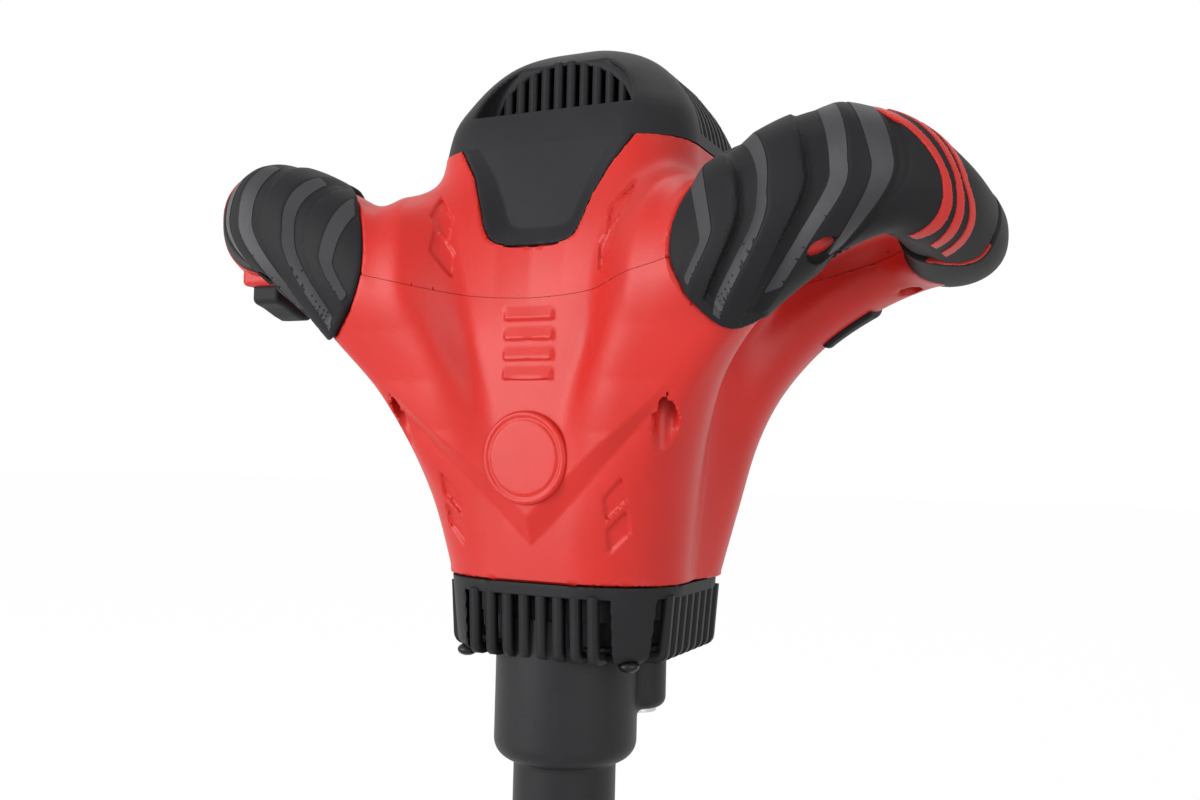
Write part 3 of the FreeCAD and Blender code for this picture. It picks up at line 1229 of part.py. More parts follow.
# Speed dial: a knurled thumbwheel on a pin, with the potentiometer against one cheek.
KNURLS = 30
dial = rod(size("dial_radius"), FreeCAD.Vector(-size("dial_width / 2"), dial_y, dial_z), size("dial_width"),
           FreeCAD.Vector(1, 0, 0))
dial = dial.cut(rod(size("dial_pin_radius + running_clearance"),
                    FreeCAD.Vector(-size("dial_width"), dial_y, dial_z), size("2 * dial_width"),
                    FreeCAD.Vector(1, 0, 0)))
for index in range(KNURLS):
    angle = index * 2 * math.pi / KNURLS
    centre = FreeCAD.Vector(-size("dial_width"), dial_y + size("dial_radius") * math.cos(angle),
                            dial_z + size("dial_radius") * math.sin(angle))
    dial = dial.cut(rod(size("knurl_depth"), centre, size("2 * dial_width"), FreeCAD.Vector(1, 0, 0)))
piece("speed_dial", feature("speed_dial_shape", dial))
pin = rod(size("dial_pin_radius"), FreeCAD.Vector(-half_dial - cheek, dial_y, dial_z),
          2 * (half_dial + cheek), FreeCAD.Vector(1, 0, 0))
piece("dial_pin", feature("dial_pin_shape", pin))
pot = block(FreeCAD.Vector(half_dial + cheek, cheek_low, dial_z - cheek_tall),
            FreeCAD.Vector(half_dial + cheek + size("pot_width"), dial_y + size("cheek_reach") / 3,
                           dial_z + cheek_tall))
piece("dial_potentiometer", feature("dial_potentiometer_shape", pot))

# Cable inlet: a flanged bush seated on the boss at the back of the upper housing.
inlet_outline = [
    ("inlet_bore", "0"), ("inlet_bore + inlet_wall", "0"),
    ("inlet_bore + inlet_wall", "inlet_length - inlet_flange"),
    ("inlet_bore + inlet_wall + inlet_boss_wall", "inlet_length - inlet_flange"),
    ("inlet_bore + inlet_wall + inlet_boss_wall", "inlet_length"), ("inlet_bore", "inlet_length"),
]
inlet = turned("cable_inlet_body", inlet_outline, "0", f"{inlet_face - inlet_deep}", f"{inlet_z}", axis="y")
piece("cable_inlet", inlet)

document.recompute()
broken = [item.Name for item in document.Objects if {"Invalid", "Error"} & set(item.State)]
for item in PIECES:
    if item.Shape.isNull() or not item.Shape.isValid() or not item.Shape.Solids:
        broken.append(item.Label)
if broken:
    raise RuntimeError("failed: " + ", ".join(broken))
for item in PIECES:
    item.Shape.exportStep(f"parts/{item.Label}.step")
    print(item.Label, len(item.Shape.Solids), round(item.Shape.Volume))
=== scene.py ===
import bpy
import bmesh
import json
import math
import numpy as np
from mathutils import Matrix, Vector


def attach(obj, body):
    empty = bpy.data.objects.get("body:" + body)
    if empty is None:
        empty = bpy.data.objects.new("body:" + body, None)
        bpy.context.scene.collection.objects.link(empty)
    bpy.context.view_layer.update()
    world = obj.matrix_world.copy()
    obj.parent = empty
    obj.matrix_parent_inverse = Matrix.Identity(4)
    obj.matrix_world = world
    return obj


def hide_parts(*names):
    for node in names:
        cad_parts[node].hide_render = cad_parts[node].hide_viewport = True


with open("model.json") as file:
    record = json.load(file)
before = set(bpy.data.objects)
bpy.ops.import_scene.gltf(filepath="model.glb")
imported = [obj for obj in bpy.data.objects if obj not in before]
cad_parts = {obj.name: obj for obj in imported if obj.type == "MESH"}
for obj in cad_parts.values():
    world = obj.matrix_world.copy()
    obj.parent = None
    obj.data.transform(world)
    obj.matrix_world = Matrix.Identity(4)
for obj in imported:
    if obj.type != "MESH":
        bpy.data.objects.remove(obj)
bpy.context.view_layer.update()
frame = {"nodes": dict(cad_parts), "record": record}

# Lower and upper housing: two red glass-filled mouldings with a fine texture, screwed together from
# below at a joint that rises outwards. Both run out into the loops that carry the soft grips.
# Forms are drawn in millimetres from the motor axis at the top of the vent collar.
SEAT = np.array((0.0, 17.0, 137.0))
LOOP = [  # centre, heading and pitch of the path, half width, half height
    (25, -31, 6, -50, 85, 17, 9), (33, -37, 36, -45, 78, 19, 13), (45, -45, 68, -35, 66, 22, 19),
    (58, -53, 97, -20, 50, 23, 24), (75, -60, 121, -8, 33, 21, 28), (97, -62, 137.5, -2, 25, 20, 26),
    (119, -61, 149, 8, 20, 20, 24.5), (137, -54, 152.5, 42, 7, 20, 21), (148, -38, 147, 74, -9, 19, 16.5),
    (152.5, -18, 143.2, 86, -10, 19, 15.3), (154, 3, 140, 95, -8, 19, 15), (149, 22, 139, 118, -6, 19, 15.5),
    (132, 37, 139.5, 150, -12, 19, 15), (107, 44, 131, 168, -26, 19, 16), (82, 45, 114.5, 178, -38, 20, 16),
    (61, 43, 90, 195, -54, 21, 16), (46, 38, 62, 215, -68, 21, 14), (36, 33, 31, 225, -80, 20, 12),
    (28, 28, 4, 230, -85, 18, 9),
]
FRONT_SHOULDER = [  # as for the loop
    (36, -30, 133, -35, 0, 26, 26), (60, -46, 130, -28, -2, 22, 23), (84, -60, 126, -20, -8, 20, 25),
]
REAR_SHOULDER = [
    (36, 28, 134, 35, 0, 26, 23), (60, 40, 130, 20, -15, 22, 18), (84, 45, 118, 10, -30, 19, 16),
]
TRUNK = [  # level, half width, half depth, corner radius
    (-6, 50.6, 50.6, 36), (0, 50.8, 50.8, 36), (40, 54, 54, 36), (80, 57, 55.5, 34), (113, 59, 57, 31),
    (140, 58.5, 54, 28), (165, 58, 50.5, 26), (185, 57, 48.5, 24),
]
CHEST = (  # levels, reach to the front at each
    (0, 30, 60, 80, 100, 120, 140), (-54.5, -57.5, -61, -66, -74, -84, -90),
)
SUNK_MARKS = [  # distance from the middle, level, half height, lean
    (36.6, 34.5, 3.7, 1.0), (36.6, 22, 3.7, 1.0), (40, 147, 4.2, 1.3), (37, 132, 4.2, 1.3),
]
WALL = 5.0
JOINT_LEVEL = 113
HOUSING_TOP = 178.0
COVER_LAYER = 2.0


def curve_through(rows, spacing):
    """The rows of a table with smooth ones between them, about a spacing apart."""
    rows = np.array(rows, float)
    ends = np.vstack([rows[:1], rows, rows[-1:]])
    result = []
    for index in range(len(rows) - 1):
        before, here, there, after = ends[index:index + 4]
        count = max(2, int(round(np.linalg.norm((there - here)[:3]) / spacing)))
        for step in range(count):
            t = step / count
            result.append(0.5 * (2 * here + (there - before) * t
                                 + (2 * before - 5 * here + 4 * there - after) * t ** 2
                                 + (3 * here - before - 3 * there + after) * t ** 3))
    result.append(rows[-1])
    return np.array(result)


def path_frames(rows, spacing=3.0):
    """Centre, half sizes, length so far and directions (along, side, up) at each station of a limb."""
    rows = curve_through(rows, spacing)
    for _ in range(14):
        rows[1:-1, 3:] = (rows[:-2, 3:] + 2 * rows[1:-1, 3:] + rows[2:, 3:]) / 4
    heading = np.radians(rows[:, 3])
    pitch = np.radians(rows[:, 4])
    along = np.stack([np.cos(pitch) * np.cos(heading), np.cos(pitch) * np.sin(heading), np.sin(pitch)], 1)
    side = np.stack([-np.sin(heading), np.cos(heading), 0 * heading], 1)
    lengths = np.concatenate([[0], np.cumsum(np.linalg.norm(np.diff(rows[:, :3], axis=0), axis=1))])
    return rows[:, :3], rows[:, 5:7], lengths, along, side, np.cross(along, side)


LOOP_PATH = path_frames(LOOP)
SHOULDER_PATHS = [path_frames(FRONT_SHOULDER), path_frames(REAR_SHOULDER)]
TRUNK_TABLE = curve_through(TRUNK, 4.0)


def limb(points, path, lead=(0, 0), fullness=2.3, reach=58.0):
    """Distance to a limb's skin, length along its path and angle round it; its leads lengthen it."""
    centres, halves, lengths, along, side, up = path
    last = len(centres) - 2
    distance = np.full(len(points), 60.0)
    place = np.full(len(points), -1000.0)
    angle = np.zeros(len(points))
    near_x = points[:, 0].min(), points[:, 0].max()
    for i in range(len(centres) - 1):
        if not near_x[0] - reach < centres[i, 0] < near_x[1] + reach:
            continue
        spot = np.flatnonzero(((points - centres[i]) ** 2).sum(1) < reach ** 2)
        ahead = (points[spot] - centres[i]) @ along[i]
        behind = (points[spot] - centres[i + 1]) @ along[i + 1]
        held = (ahead >= (-lead[0] if i == 0 else 0)) & (behind < (lead[1] if i == last else 0))
        spot, ahead, behind = spot[held], ahead[held], behind[held]
        if not len(spot):
            continue
        share = np.clip(ahead / (ahead - behind), 0, 1)
        across = ((points[spot] - centres[i]) @ side[i] * (1 - share)
                  + (points[spot] - centres[i + 1]) @ side[i + 1] * share)
        tall = ((points[spot] - centres[i]) @ up[i] * (1 - share)
                + (points[spot] - centres[i + 1]) @ up[i + 1] * share)
        half = halves[i] + (halves[i + 1] - halves[i]) * share[:, None]
        round_share = ((np.abs(across) / half[:, 0]) ** fullness
                       + (np.abs(tall) / half[:, 1]) ** fullness) ** (1 / fullness)
        size = np.hypot(across, tall)
        found = np.where(round_share > 0.2, size * (1 - 1 / np.maximum(round_share, 0.2)), -half.min(1))
        nearer = found < distance[spot]
        spot = spot[nearer]
        distance[spot] = found[nearer]
        place[spot] = (lengths[i] + (lengths[i + 1] - lengths[i]) * share)[nearer]
        angle[spot] = np.arctan2(-tall, -across)[nearer]
    return distance, place, angle


def melt(a, b, width):
    """The union of two forms, filleted over a width."""
    share = np.clip(0.5 + 0.5 * (b - a) / width, 0, 1)
    return b * (1 - share) + a * share - width * share * (1 - share)


def trim(a, b, width=0.0):
    """What two forms share, with the edge between them rounded over a width."""
    return -melt(-a, -b, width) if width else np.maximum(a, b)


def ramp(value, low, high):
    t = np.clip((value - low) / (high - low), 0, 1)
    return t * t * (3 - 2 * t)


def rounded_square(x, y, half_x, half_y, corner):
    qx = np.abs(x) - (half_x - corner)
    qy = np.abs(y) - (half_y - corner)
    return np.hypot(np.maximum(qx, 0), np.maximum(qy, 0)) + np.minimum(np.maximum(qx, qy), 0) - corner


def block(points, low, high):
    low, high = np.array(low, float), np.array(high, float)
    q = np.abs(points - (low + high) / 2) - (high - low) / 2
    return np.linalg.norm(np.maximum(q, 0), axis=1) + np.minimum(q.max(1), 0)


def cover_start(angle):
    """Where the soft cover begins along the loop: it bows towards the body and leans back on top."""
    below = np.clip(angle, 0, 1.6)
    above = np.clip(-angle, 0, 1.5)
    start = 125 - 5.5 * below + 5 * below ** 2 + 30 * np.maximum(below - 1.05, 0) ** 2
    start = start + 5 * above + 11 * above ** 2
    inner = ramp(np.abs(angle), 2.2, 3.1)
    return start * (1 - inner) + 148 * inner


def cover_end(angle):
    return 247 + 7 * ramp(angle, 0.3, 1.0) - 4 * ramp(angle, 1.2, 2.0)


def bumper_end(angle):
    return 309.5 - 25 * ramp(np.abs(angle), 0.6, 1.9)


def joint_rise(across):
    """How far the joint between the halves has risen at a distance from the middle."""
    beyond = np.abs(across) - 27
    return 0.118 * (beyond + np.hypot(beyond, 18)) - 0.6


def parting(points):
    return JOINT_LEVEL + joint_rise(points[:, 0])


def front_relief(points):
    """Moulded relief of the front wall: bevelled panel, four ledges and pairs of sunk marks."""
    x = np.abs(points[:, 0])
    z = points[:, 2]
    above = (z - 15 - 0.96 * x) / 1.386
    bevel = 8.0 - 5.0 * ramp(x, 8, 58)
    relief = 3.8 * np.clip(above / bevel, 0, 1) * (1 - ramp(x, 36, 72)) * (1 - ramp(z, 66, 112) * 0.7)
    for foot in (104.5, 96.6, 88.6, 80.7):
        rise = ramp(z, foot - 0.5, foot + 0.5) * np.clip(1 - (z - foot) / 5.5, 0, 1)
        rise = rise * (1 - ramp(x, 10.2, 11.8))
        relief = relief + 1.3 * rise
    for middle, level, half, lean in SUNK_MARKS:
        u = x - middle
        inside = np.maximum(np.abs(u) - 4.4, np.abs(z - level - lean * u) / 1.3 - half)
        relief = relief - 1.3 * (1 - ramp(inside, -0.7, 0.3))
    return relief * ramp(-points[:, 1], 22, 34)


def body_form(points):
    """The red body: trunk, loops and shoulders flowing into each other, before it is hollowed."""
    mirrored = points.copy()
    mirrored[:, 0] = np.abs(mirrored[:, 0])
    x, y, z = mirrored.T
    level = TRUNK_TABLE[:, 0]
    half_width, half_depth, corner = (np.interp(z, level, TRUNK_TABLE[:, k]) for k in (1, 2, 3))
    trunk = rounded_square(x, y, half_width, half_depth, corner)
    trunk = np.maximum(trunk, z - HOUSING_TOP - 8)
    loop, place, angle = limb(mirrored, LOOP_PATH, (26, 26))
    full = melt(trunk, loop, 8 + 22 * ramp(x, 22, 58))
    for path in SHOULDER_PATHS:
        shoulder, run = limb(mirrored, path, (40, 0))[:2]
        full = melt(full, shoulder + 26 * ramp(run, path[2][-1] - 24, path[2][-1] - 2), 24)
    full = trim(full, np.interp(z, CHEST[0], CHEST[1]) - y, 6)
    inset = np.minimum(place - cover_start(angle), bumper_end(angle) + 0.5 - place)
    sunk = COVER_LAYER * ramp(inset, -0.6, 0.9) * (1 - ramp(loop, 16, 20))
    return full + sunk - front_relief(points), full, loop, place, angle


SCREW_PLACES = [(59, -58), (58, 44), (122, -55.8), (130.9, 37.2)]
TRIGGER_PLACE = (-150.6, -27.9)


def screw_seat(across):
    """Level of the face on which a housing screw's head seats, at a distance from the middle."""
    return 107 + 0.23 * (across - 25)


def screw_wells(points):
    """The round wells in which the housing screws are driven up from below."""
    wells = np.full(len(points), 60.0)
    for across, deep in SCREW_PLACES:
        radius = np.hypot(np.abs(points[:, 0]) - across, points[:, 1] - deep) - 4.6
        wells = np.minimum(wells, np.maximum(radius, points[:, 2] - screw_seat(across)))
    return wells


def trigger_room(points):
    x, y = TRIGGER_PLACE
    return block(points, (x - 10.8, y - 17.8, 100), (x + 10.8, y + 17.8, 143.8))


def shield_outline(points):
    """Outline of the black tongue on the front, from the cap down to its foot."""
    x = np.abs(points[:, 0])
    z = points[:, 2]
    half = np.interp(z, (133, 137, 143, 152, 165, 180, 192), (14, 19.5, 22.5, 25.5, 31, 41, 47))
    return trim((x - half) * 0.9, 134.3 - z, 6)


def lower_form(points, body):
    """The lower half, with a tongue that stands up behind the joint."""
    over_joint = points[:, 2] - parting(points)
    under_joint = np.minimum(over_joint + 0.1, np.maximum(over_joint - 3.0, body + 2.5))
    wells = screw_wells(points)
    form = np.maximum(np.maximum(body, under_joint), -points[:, 2] + 0.15)
    form = np.maximum(form, -(body + WALL))
    form = np.minimum(form, np.maximum(np.maximum(wells - 2.4, body), under_joint))
    return np.maximum(form, -np.minimum(wells, trigger_room(points)))


def upper_form(points, body):
    """The upper half, with a groove for that tongue and openings for what shows through it."""
    x, y, z = points.T
    over_joint = z - parting(points)
    form = np.maximum(body, 0.1 - over_joint)
    form = np.maximum(form, -np.maximum(over_joint - 3.2, body + 2.3))
    form = np.maximum(form, z - HOUSING_TOP)
    form = np.maximum(form, -(body + WALL))
    form = np.maximum(form, -np.maximum(shield_outline(points), y + 36))
    boss = np.maximum(np.hypot(x, z - 160) - 12, np.maximum(y - 53.6, 40 - y))
    form = melt(form, boss, 3)
    form = np.maximum(form, -np.maximum(np.hypot(x, z - 160) - 8, 20 - y))
    form = np.maximum(form, -block(points, (-4.5, 30, 118), (4.5, 80, 144)))
    lock_hole = np.maximum(np.hypot(y - TRIGGER_PLACE[1], z - 147.5) - 4.4, np.abs(x + 135) - 15)
    return np.maximum(form, -np.minimum(lock_hole, trigger_room(points)))


def lattice(low, high, step):
    """Even sample planes along each axis; those across the middle lie in mirrored pairs."""
    across, deep, tall = (np.arange(low[k], high[k] + step, step) for k in range(3))
    if low[0] < 0 < high[0]:
        half = np.arange(step / 2, high[0] + step, step)
        across = np.concatenate([-half[::-1], half])
    return across, deep, tall


def sampled(form, axes):
    """A form's values on a lattice, taken plane by plane."""
    grid = np.stack(np.meshgrid(axes[1], axes[2], indexing="ij"), -1).reshape(-1, 2)
    planes = []
    for x in axes[0]:
        points = np.column_stack([np.full(len(grid), x), grid])
        planes.append(form(points).reshape(len(axes[1]), len(axes[2])))
    return np.stack(planes)


def skin(values, axes):
    """Points and outward four-sided faces of the closed skin where the values change sign."""
    inside = values < 0
    shape = np.array(values.shape) - 1
    total = np.zeros(tuple(shape) + (3,))
    count = np.zeros(tuple(shape))
    crossings = []
    for axis in range(3):
        first = [slice(None)] * 3
        second = [slice(None)] * 3
        first[axis] = slice(None, -1)
        second[axis] = slice(1, None)
        cross = np.argwhere(inside[tuple(first)] != inside[tuple(second)])
        start = values[tuple(cross.T)]
        step = np.zeros(3, int)
        step[axis] = 1
        finish = values[tuple((cross + step).T)]
        share = start / (start - finish)
        where = np.column_stack([axes[k][cross[:, k]] for k in range(3)])
        where[:, axis] += share * (axes[axis][1] - axes[axis][0])
        others = [(axis + 1) % 3, (axis + 2) % 3]
        corners = []
        for a, b in ((-1, -1), (0, -1), (0, 0), (-1, 0)):
            cell = cross.copy()
            cell[:, others[0]] += a
            cell[:, others[1]] += b
            fits = np.all((cell >= 0) & (cell < shape), axis=1)
            np.add.at(total, tuple(cell[fits].T), where[fits])
            np.add.at(count, tuple(cell[fits].T), 1)
            corners.append((cell, fits))
        crossings.append((corners, start < 0))
    live = count > 0
    number = np.full(tuple(shape), -1)
    number[live] = np.arange(live.sum())
    places = total[live] / count[live][:, None]
    faces = []
    for corners, outward in crossings:
        good = np.all([fits for cell, fits in corners], axis=0)
        quad = np.column_stack([number[tuple(cell[good].T)] for cell, fits in corners])
        way = outward[good]
        faces.append(quad[way])
        faces.append(quad[~way][:, ::-1])
    return places, np.concatenate(faces)


def settled(places, form, rounds=2, limit=0.6):
    """Points drawn on to the exact surface of a form."""
    nudge = 0.05
    for _ in range(rounds):
        value = form(places)
        slope = np.stack([form(places + np.eye(3)[k] * nudge) - value for k in range(3)], 1) / nudge
        move = value[:, None] * slope / np.maximum((slope ** 2).sum(1), 0.2)[:, None]
        length = np.linalg.norm(move, axis=1)[:, None]
        places = places - move * np.minimum(1, limit / np.maximum(length, 1e-9))
    return places


def drawn_to_edge(places, first, second, reach):
    """Points near the edge where two forms meet, moved on to that edge to keep it crisp."""
    near = np.flatnonzero((np.abs(first(places)) < reach) & (np.abs(second(places)) < reach))
    places = places.copy()
    for form in (first, second, first, second, first, second):
        places[near] = settled(places[near], form, 1, reach)
    return places


def refined(places, faces, zone):
    """The same skin with each face whose middle lies in a zone split into four."""
    mesh = bpy.data.meshes.new("coarse_skin")
    mesh.from_pydata(places.tolist(), [], faces.tolist())
    work = bmesh.new()
    work.from_mesh(mesh)
    bpy.data.meshes.remove(mesh)
    middles = places[faces].mean(1)
    work.faces.ensure_lookup_table()
    edges = {edge for index in np.flatnonzero(zone(middles)) for edge in work.faces[index].edges}
    bmesh.ops.subdivide_edges(work, edges=list(edges), cuts=1, use_grid_fill=True)
    work.verts.index_update()
    places = np.array([point.co[:] for point in work.verts])
    faces = [[point.index for point in face.verts] for face in work.faces]
    work.free()
    return places, faces


def moulded(name, places, faces, material, offset=SEAT, crease=42):
    """A mesh object from millimetre points, shaded smooth but for edges sharper than a crease."""
    mesh = bpy.data.meshes.new(name)
    mesh.from_pydata(((places + offset) / 1000).tolist(), [], [list(face) for face in faces])
    mesh.polygons.foreach_set("use_smooth", [True] * len(mesh.polygons))
    mesh.set_sharp_from_angle(angle=math.radians(crease))
    mesh.materials.append(material)
    item = bpy.data.objects.new(name, mesh)
    bpy.context.scene.collection.objects.link(item)
    return item


def add_node(tree, kind, **inputs):
    node = tree.nodes.new(kind)
    for name, value in inputs.items():
        node.inputs[name.replace("_", " ")].default_value = value
    return node


def textured_plastic(name, colour, roughness, grain, depth, mottling, shine=0.5):
    """A moulded finish: spark-eroded grain as bump, faint clouding of colour and gloss."""
    material = bpy.data.materials.new(name)
    material.use_nodes = True
    tree = material.node_tree
    shader = tree.nodes["Principled BSDF"]
    shader.inputs["Specular IOR Level"].default_value = shine
    coords = tree.nodes.new("ShaderNodeTexCoord")
    fine = add_node(tree, "ShaderNodeTexNoise", Scale=grain, Detail=3.0, Roughness=0.6)
    cloud = add_node(tree, "ShaderNodeTexNoise", Scale=38.0, Detail=4.0, Roughness=0.55)
    for texture in (fine, cloud):
        tree.links.new(coords.outputs["Object"], texture.inputs["Vector"])
    tint = tree.nodes.new("ShaderNodeValToRGB")
    tint.color_ramp.elements[0].position = 0.3
    tint.color_ramp.elements[1].position = 0.7
    tint.color_ramp.elements[0].color = tuple(channel * (1 - mottling) for channel in colour) + (1,)
    tint.color_ramp.elements[1].color = tuple(min(1, channel * (1 + mottling)) for channel in colour) + (1,)
    gloss = add_node(tree, "ShaderNodeMapRange")
    gloss.inputs["To Min"].default_value = roughness - 0.05
    gloss.inputs["To Max"].default_value = roughness + 0.07
    bump = add_node(tree, "ShaderNodeBump", Strength=depth, Distance=0.0004)
    tree.links.new(cloud.outputs["Fac"], tint.inputs["Fac"])
    tree.links.new(tint.outputs["Color"], shader.inputs["Base Color"])
    tree.links.new(fine.outputs["Fac"], gloss.inputs["Value"])
    tree.links.new(gloss.outputs["Result"], shader.inputs["Roughness"])
    tree.links.new(fine.outputs["Fac"], bump.inputs["Height"])
    tree.links.new(bump.outputs["Normal"], shader.inputs["Normal"])
    return material


def red_skin(points):
    return body_form(points)[0]


def raised(points):
    """Points of a level lattice bent to follow the rising joint, which keeps the joint's edge even."""
    level = points[:, 2]
    share = np.minimum((level - 2) / (JOINT_LEVEL - 2), (HOUSING_TOP - level) / (HOUSING_TOP - JOINT_LEVEL))
    share = np.clip(share, 0, 1)
    return points + (joint_rise(points[:, 0]) * share)[:, None] * (0, 0, 1)


def relief_zone(points):
    """Faces that carry fine relief: the front's marks and the lip round the soft covers."""
    x, y, z = np.abs(points[:, 0]), points[:, 1], points[:, 2]
    body, full, loop, place, angle = body_form(points)
    marked = ((x < 14) & (z > 78) & (z < 112)) | ((x > 31) & (x < 43) & (z > 11) & (z < 45))
    marked = marked | ((x < 66) & (np.abs(z - 20 - 0.96 * x) < 9))
    marked = marked | ((x > 16) & (x < 54) & (z > 116) & (z < 178))
    lip = (np.abs(place - cover_start(angle)) < 4) & (np.abs(loop) < 4)
    return ((marked & (y < -40)) | lip) & (body > -1.5)


red_moulding = textured_plastic("red_moulding", (0.60, 0.022, 0.016), 0.40, 1500.0, 0.16, 0.04, 0.35)
shell_axes = lattice((-182, -98, -3.35), (182, 84, 184), 1.7)
half_axes = (shell_axes[0][len(shell_axes[0]) // 2:],) + shell_axes[1:]
half_body = sampled(lambda points: red_skin(raised(points)), half_axes)
body_values = np.concatenate([half_body[::-1], half_body])
shell_grid = raised(np.stack(np.meshgrid(*shell_axes, indexing="ij"), -1).reshape(-1, 3))
for name, shell, side, nodes in (
        ("lower_shell", lower_form, 1, ("lower_housing", "plain_lower_handle", "trigger_lower_handle")),
        ("upper_shell", upper_form, -1, ("upper_housing", "plain_upper_handle", "trigger_upper_handle"))):
    values = shell(shell_grid, body_values.reshape(-1)).reshape(body_values.shape)
    places, faces = skin(values, shell_axes)
    places, faces = refined(raised(places), faces, relief_zone)
    places = settled(places, lambda points: shell(points, red_skin(points)))
    joint = lambda points, side=side: side * (points[:, 2] - parting(points)) + 0.1
    item = moulded(name, drawn_to_edge(places, red_skin, joint, 0.85), faces, red_moulding)
    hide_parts(*nodes)
    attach(item, "housing")

# Grip covers: black soft rubber moulded over the loops' front and outer limbs. Swept grooves with one
# steep and one bevelled side make finger bands on the front limb; the outer limb is plain.
RIDGE = 2.3
NOTCH_PLACE = (122.5, -71.0, 122.5)
NOTCH_SIZE = (8.0, 6.5, 5.5)
GROOVE_LINES = [  # place on the outer side, lean and sweep below it, lean and sweep above it
    (155, 12, 30, 12, 9), (178.3, 4, 22, 4, 2),
]


def past_line(place, angle, line, lean, sweep, top_lean, top_sweep):
    """How far a place lies past a swept line, eased where the line runs along the loop."""
    below = np.clip(angle, 0, 1.5)
    above = np.clip(-angle, 0, 1.5)
    slant = np.hypot(1, (lean + 2 * sweep * below) / 18)
    line = line - lean * below - sweep * below ** 2 + top_lean * above - top_sweep * above ** 2
    return (place - line) / np.sqrt(slant)


def finger_bands(place, angle):
    """Height of the cover's skin over the loop's own form, and where its bevels lie, negative on them."""
    gentle = 1 - 0.6 * ramp(-angle, 0.8, 1.4)
    dish = past_line(place, angle, 145.5, 12, 65, 8, 4)
    depth = 2.4 * np.clip(-dish / 6, 0, 1)
    bevels = np.abs(dish + 3.2) - 2.6
    for swept in GROOVE_LINES:
        past = past_line(place, angle, *swept)
        groove = np.minimum(ramp(past, -1.0, 0.4), np.clip((10.5 - past) / 5, 0, 1))
        depth = np.maximum(depth, 3.2 * gentle * groove * ramp(place - cover_start(angle), 3.5, 7))
        bevels = np.minimum(bevels, np.abs(past - 7.7) - 2.0)
    past = past_line(place, angle, 200, 0, 10, 0, 0)
    depth = np.maximum(depth, 2.0 * np.clip((past + 8) / 6.5, 0, 1))
    bevels = np.minimum(bevels, np.abs(past + 4.6) - 2.4)
    depth = depth + 0.9 * (1 - ramp(np.abs(past), 0.8, 1.5))
    inner = ramp(-angle, 1.75, 2.5) + ramp(angle, 1.55, 2.1)
    return RIDGE * (1 - 0.6 * inner) - depth * (1 - inner * (past < 4)), bevels


def cover_form(points):
    """The cover of the plain loop, before anything is cut out of it for the trigger."""
    body, full, loop, place, angle = body_form(points)
    ends = np.maximum(cover_start(angle) + 0.5 - place, place - cover_end(angle) + 0.5)
    form = trim(full - finger_bands(place, angle)[0], ends, 1.6)
    form = np.maximum(np.maximum(form, -(full + 4.5)), loop - 16)
    form = np.maximum(form, -(screw_wells(points) - 0.4))
    return np.maximum(form, (1 - np.linalg.norm((points - NOTCH_PLACE) / NOTCH_SIZE, axis=1)) * 3)


def trigger_cuts(points):
    x, y, z = points.T
    lock_hole = np.maximum(np.hypot(y - TRIGGER_PLACE[1], z - 147.5) - 4.6, np.abs(x + 130) - 20)
    return np.minimum(lock_hole, trigger_room(points) - 0.3)


grip_rubber = textured_plastic("grip_rubber", (0.014, 0.014, 0.0155), 0.56, 1300.0, 0.22, 0.12, 0.14)
grip_axes = lattice((58, -90, 92), (180, 30, 184), 0.95)
grip_values = sampled(cover_form, grip_axes)
grip_grid = np.stack(np.meshgrid(*grip_axes, indexing="ij"), -1).reshape(-1, 3) * (-1, 1, 1)
cut_values = np.maximum(grip_values, -trigger_cuts(grip_grid).reshape(grip_values.shape))
cut_cover = lambda points: np.maximum(cover_form(points), -trigger_cuts(points * (-1, 1, 1)))
for name, node, values, shape, side in (
        ("plain_grip", "plain_grip_cover", grip_values, cover_form, 1),
        ("trigger_grip", "trigger_grip_cover", cut_values, cut_cover, -1)):
    places, faces = skin(values, grip_axes)
    item = moulded(name, settled(places, shape) * (side, 1, 1), faces[:, ::side], grip_rubber)
    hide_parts(node)
    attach(item, "housing")

# Bevels of the finger bands: the same soft rubber with a smoother skin, coloured paler as a painted
# highlight for the light that falls on these facets. They are one piece with the cover and stand a hair
# proud of it.


def bevel_reach(points):
    """Where the bevels lie on the cover, and how far a point stands over their skin."""
    body, full, loop, place, angle = body_form(points)
    height, bevels = finger_bands(place, angle)
    inset = np.maximum(cover_start(angle) + 3.4 - place, (np.abs(angle - 0.05) - 1.25) * 17)
    return np.maximum(bevels, inset), full - height - 0.25


def bevel_form(points):
    zone, over = bevel_reach(points)
    return np.maximum(np.maximum(zone, over), -(over + 1.45))


def pair(names, places, faces, material, nodes=(), crease=42):
    """A piece on the plain loop and its mirror image on the trigger loop."""
    for index, side in enumerate((1, -1)):
        item = moulded(names[index], places * (side, 1, 1), faces[:, ::side], material, crease=crease)
        if nodes:
            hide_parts(nodes[index])
        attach(item, "housing")


# The bevels' paler colour is a painted highlight: it stands in for the light that the low key throws on
# these facets.
painted_highlight_rubber = textured_plastic("painted_highlight_rubber", (0.048, 0.047, 0.051), 0.48, 1300.0, 0.16, 0.10, 0.25)
axes = lattice((70, -90, 92), (178, 0, 184), 0.75)
places, faces = skin(sampled(bevel_form, axes), axes)
places = drawn_to_edge(settled(places, bevel_form), lambda points: bevel_reach(points)[0],
                       lambda points: bevel_reach(points)[1], 0.75)
pair(("plain_grip_bevels", "trigger_grip_bevels"), places, faces, painted_highlight_rubber, crease=20)

# Grip stripes: three curved bands of the red housing plastic that come up flush through slots in each
# cover on the outer limb, and a thin line of it that shows where the cover ends at the bumper.
STRIPES = [  # place, lean and sweep below it, lean on top
    (210, 9, -3.7, 11), (215.2, 8, 1.6, 10), (219, 16, -0.7, 9),
]


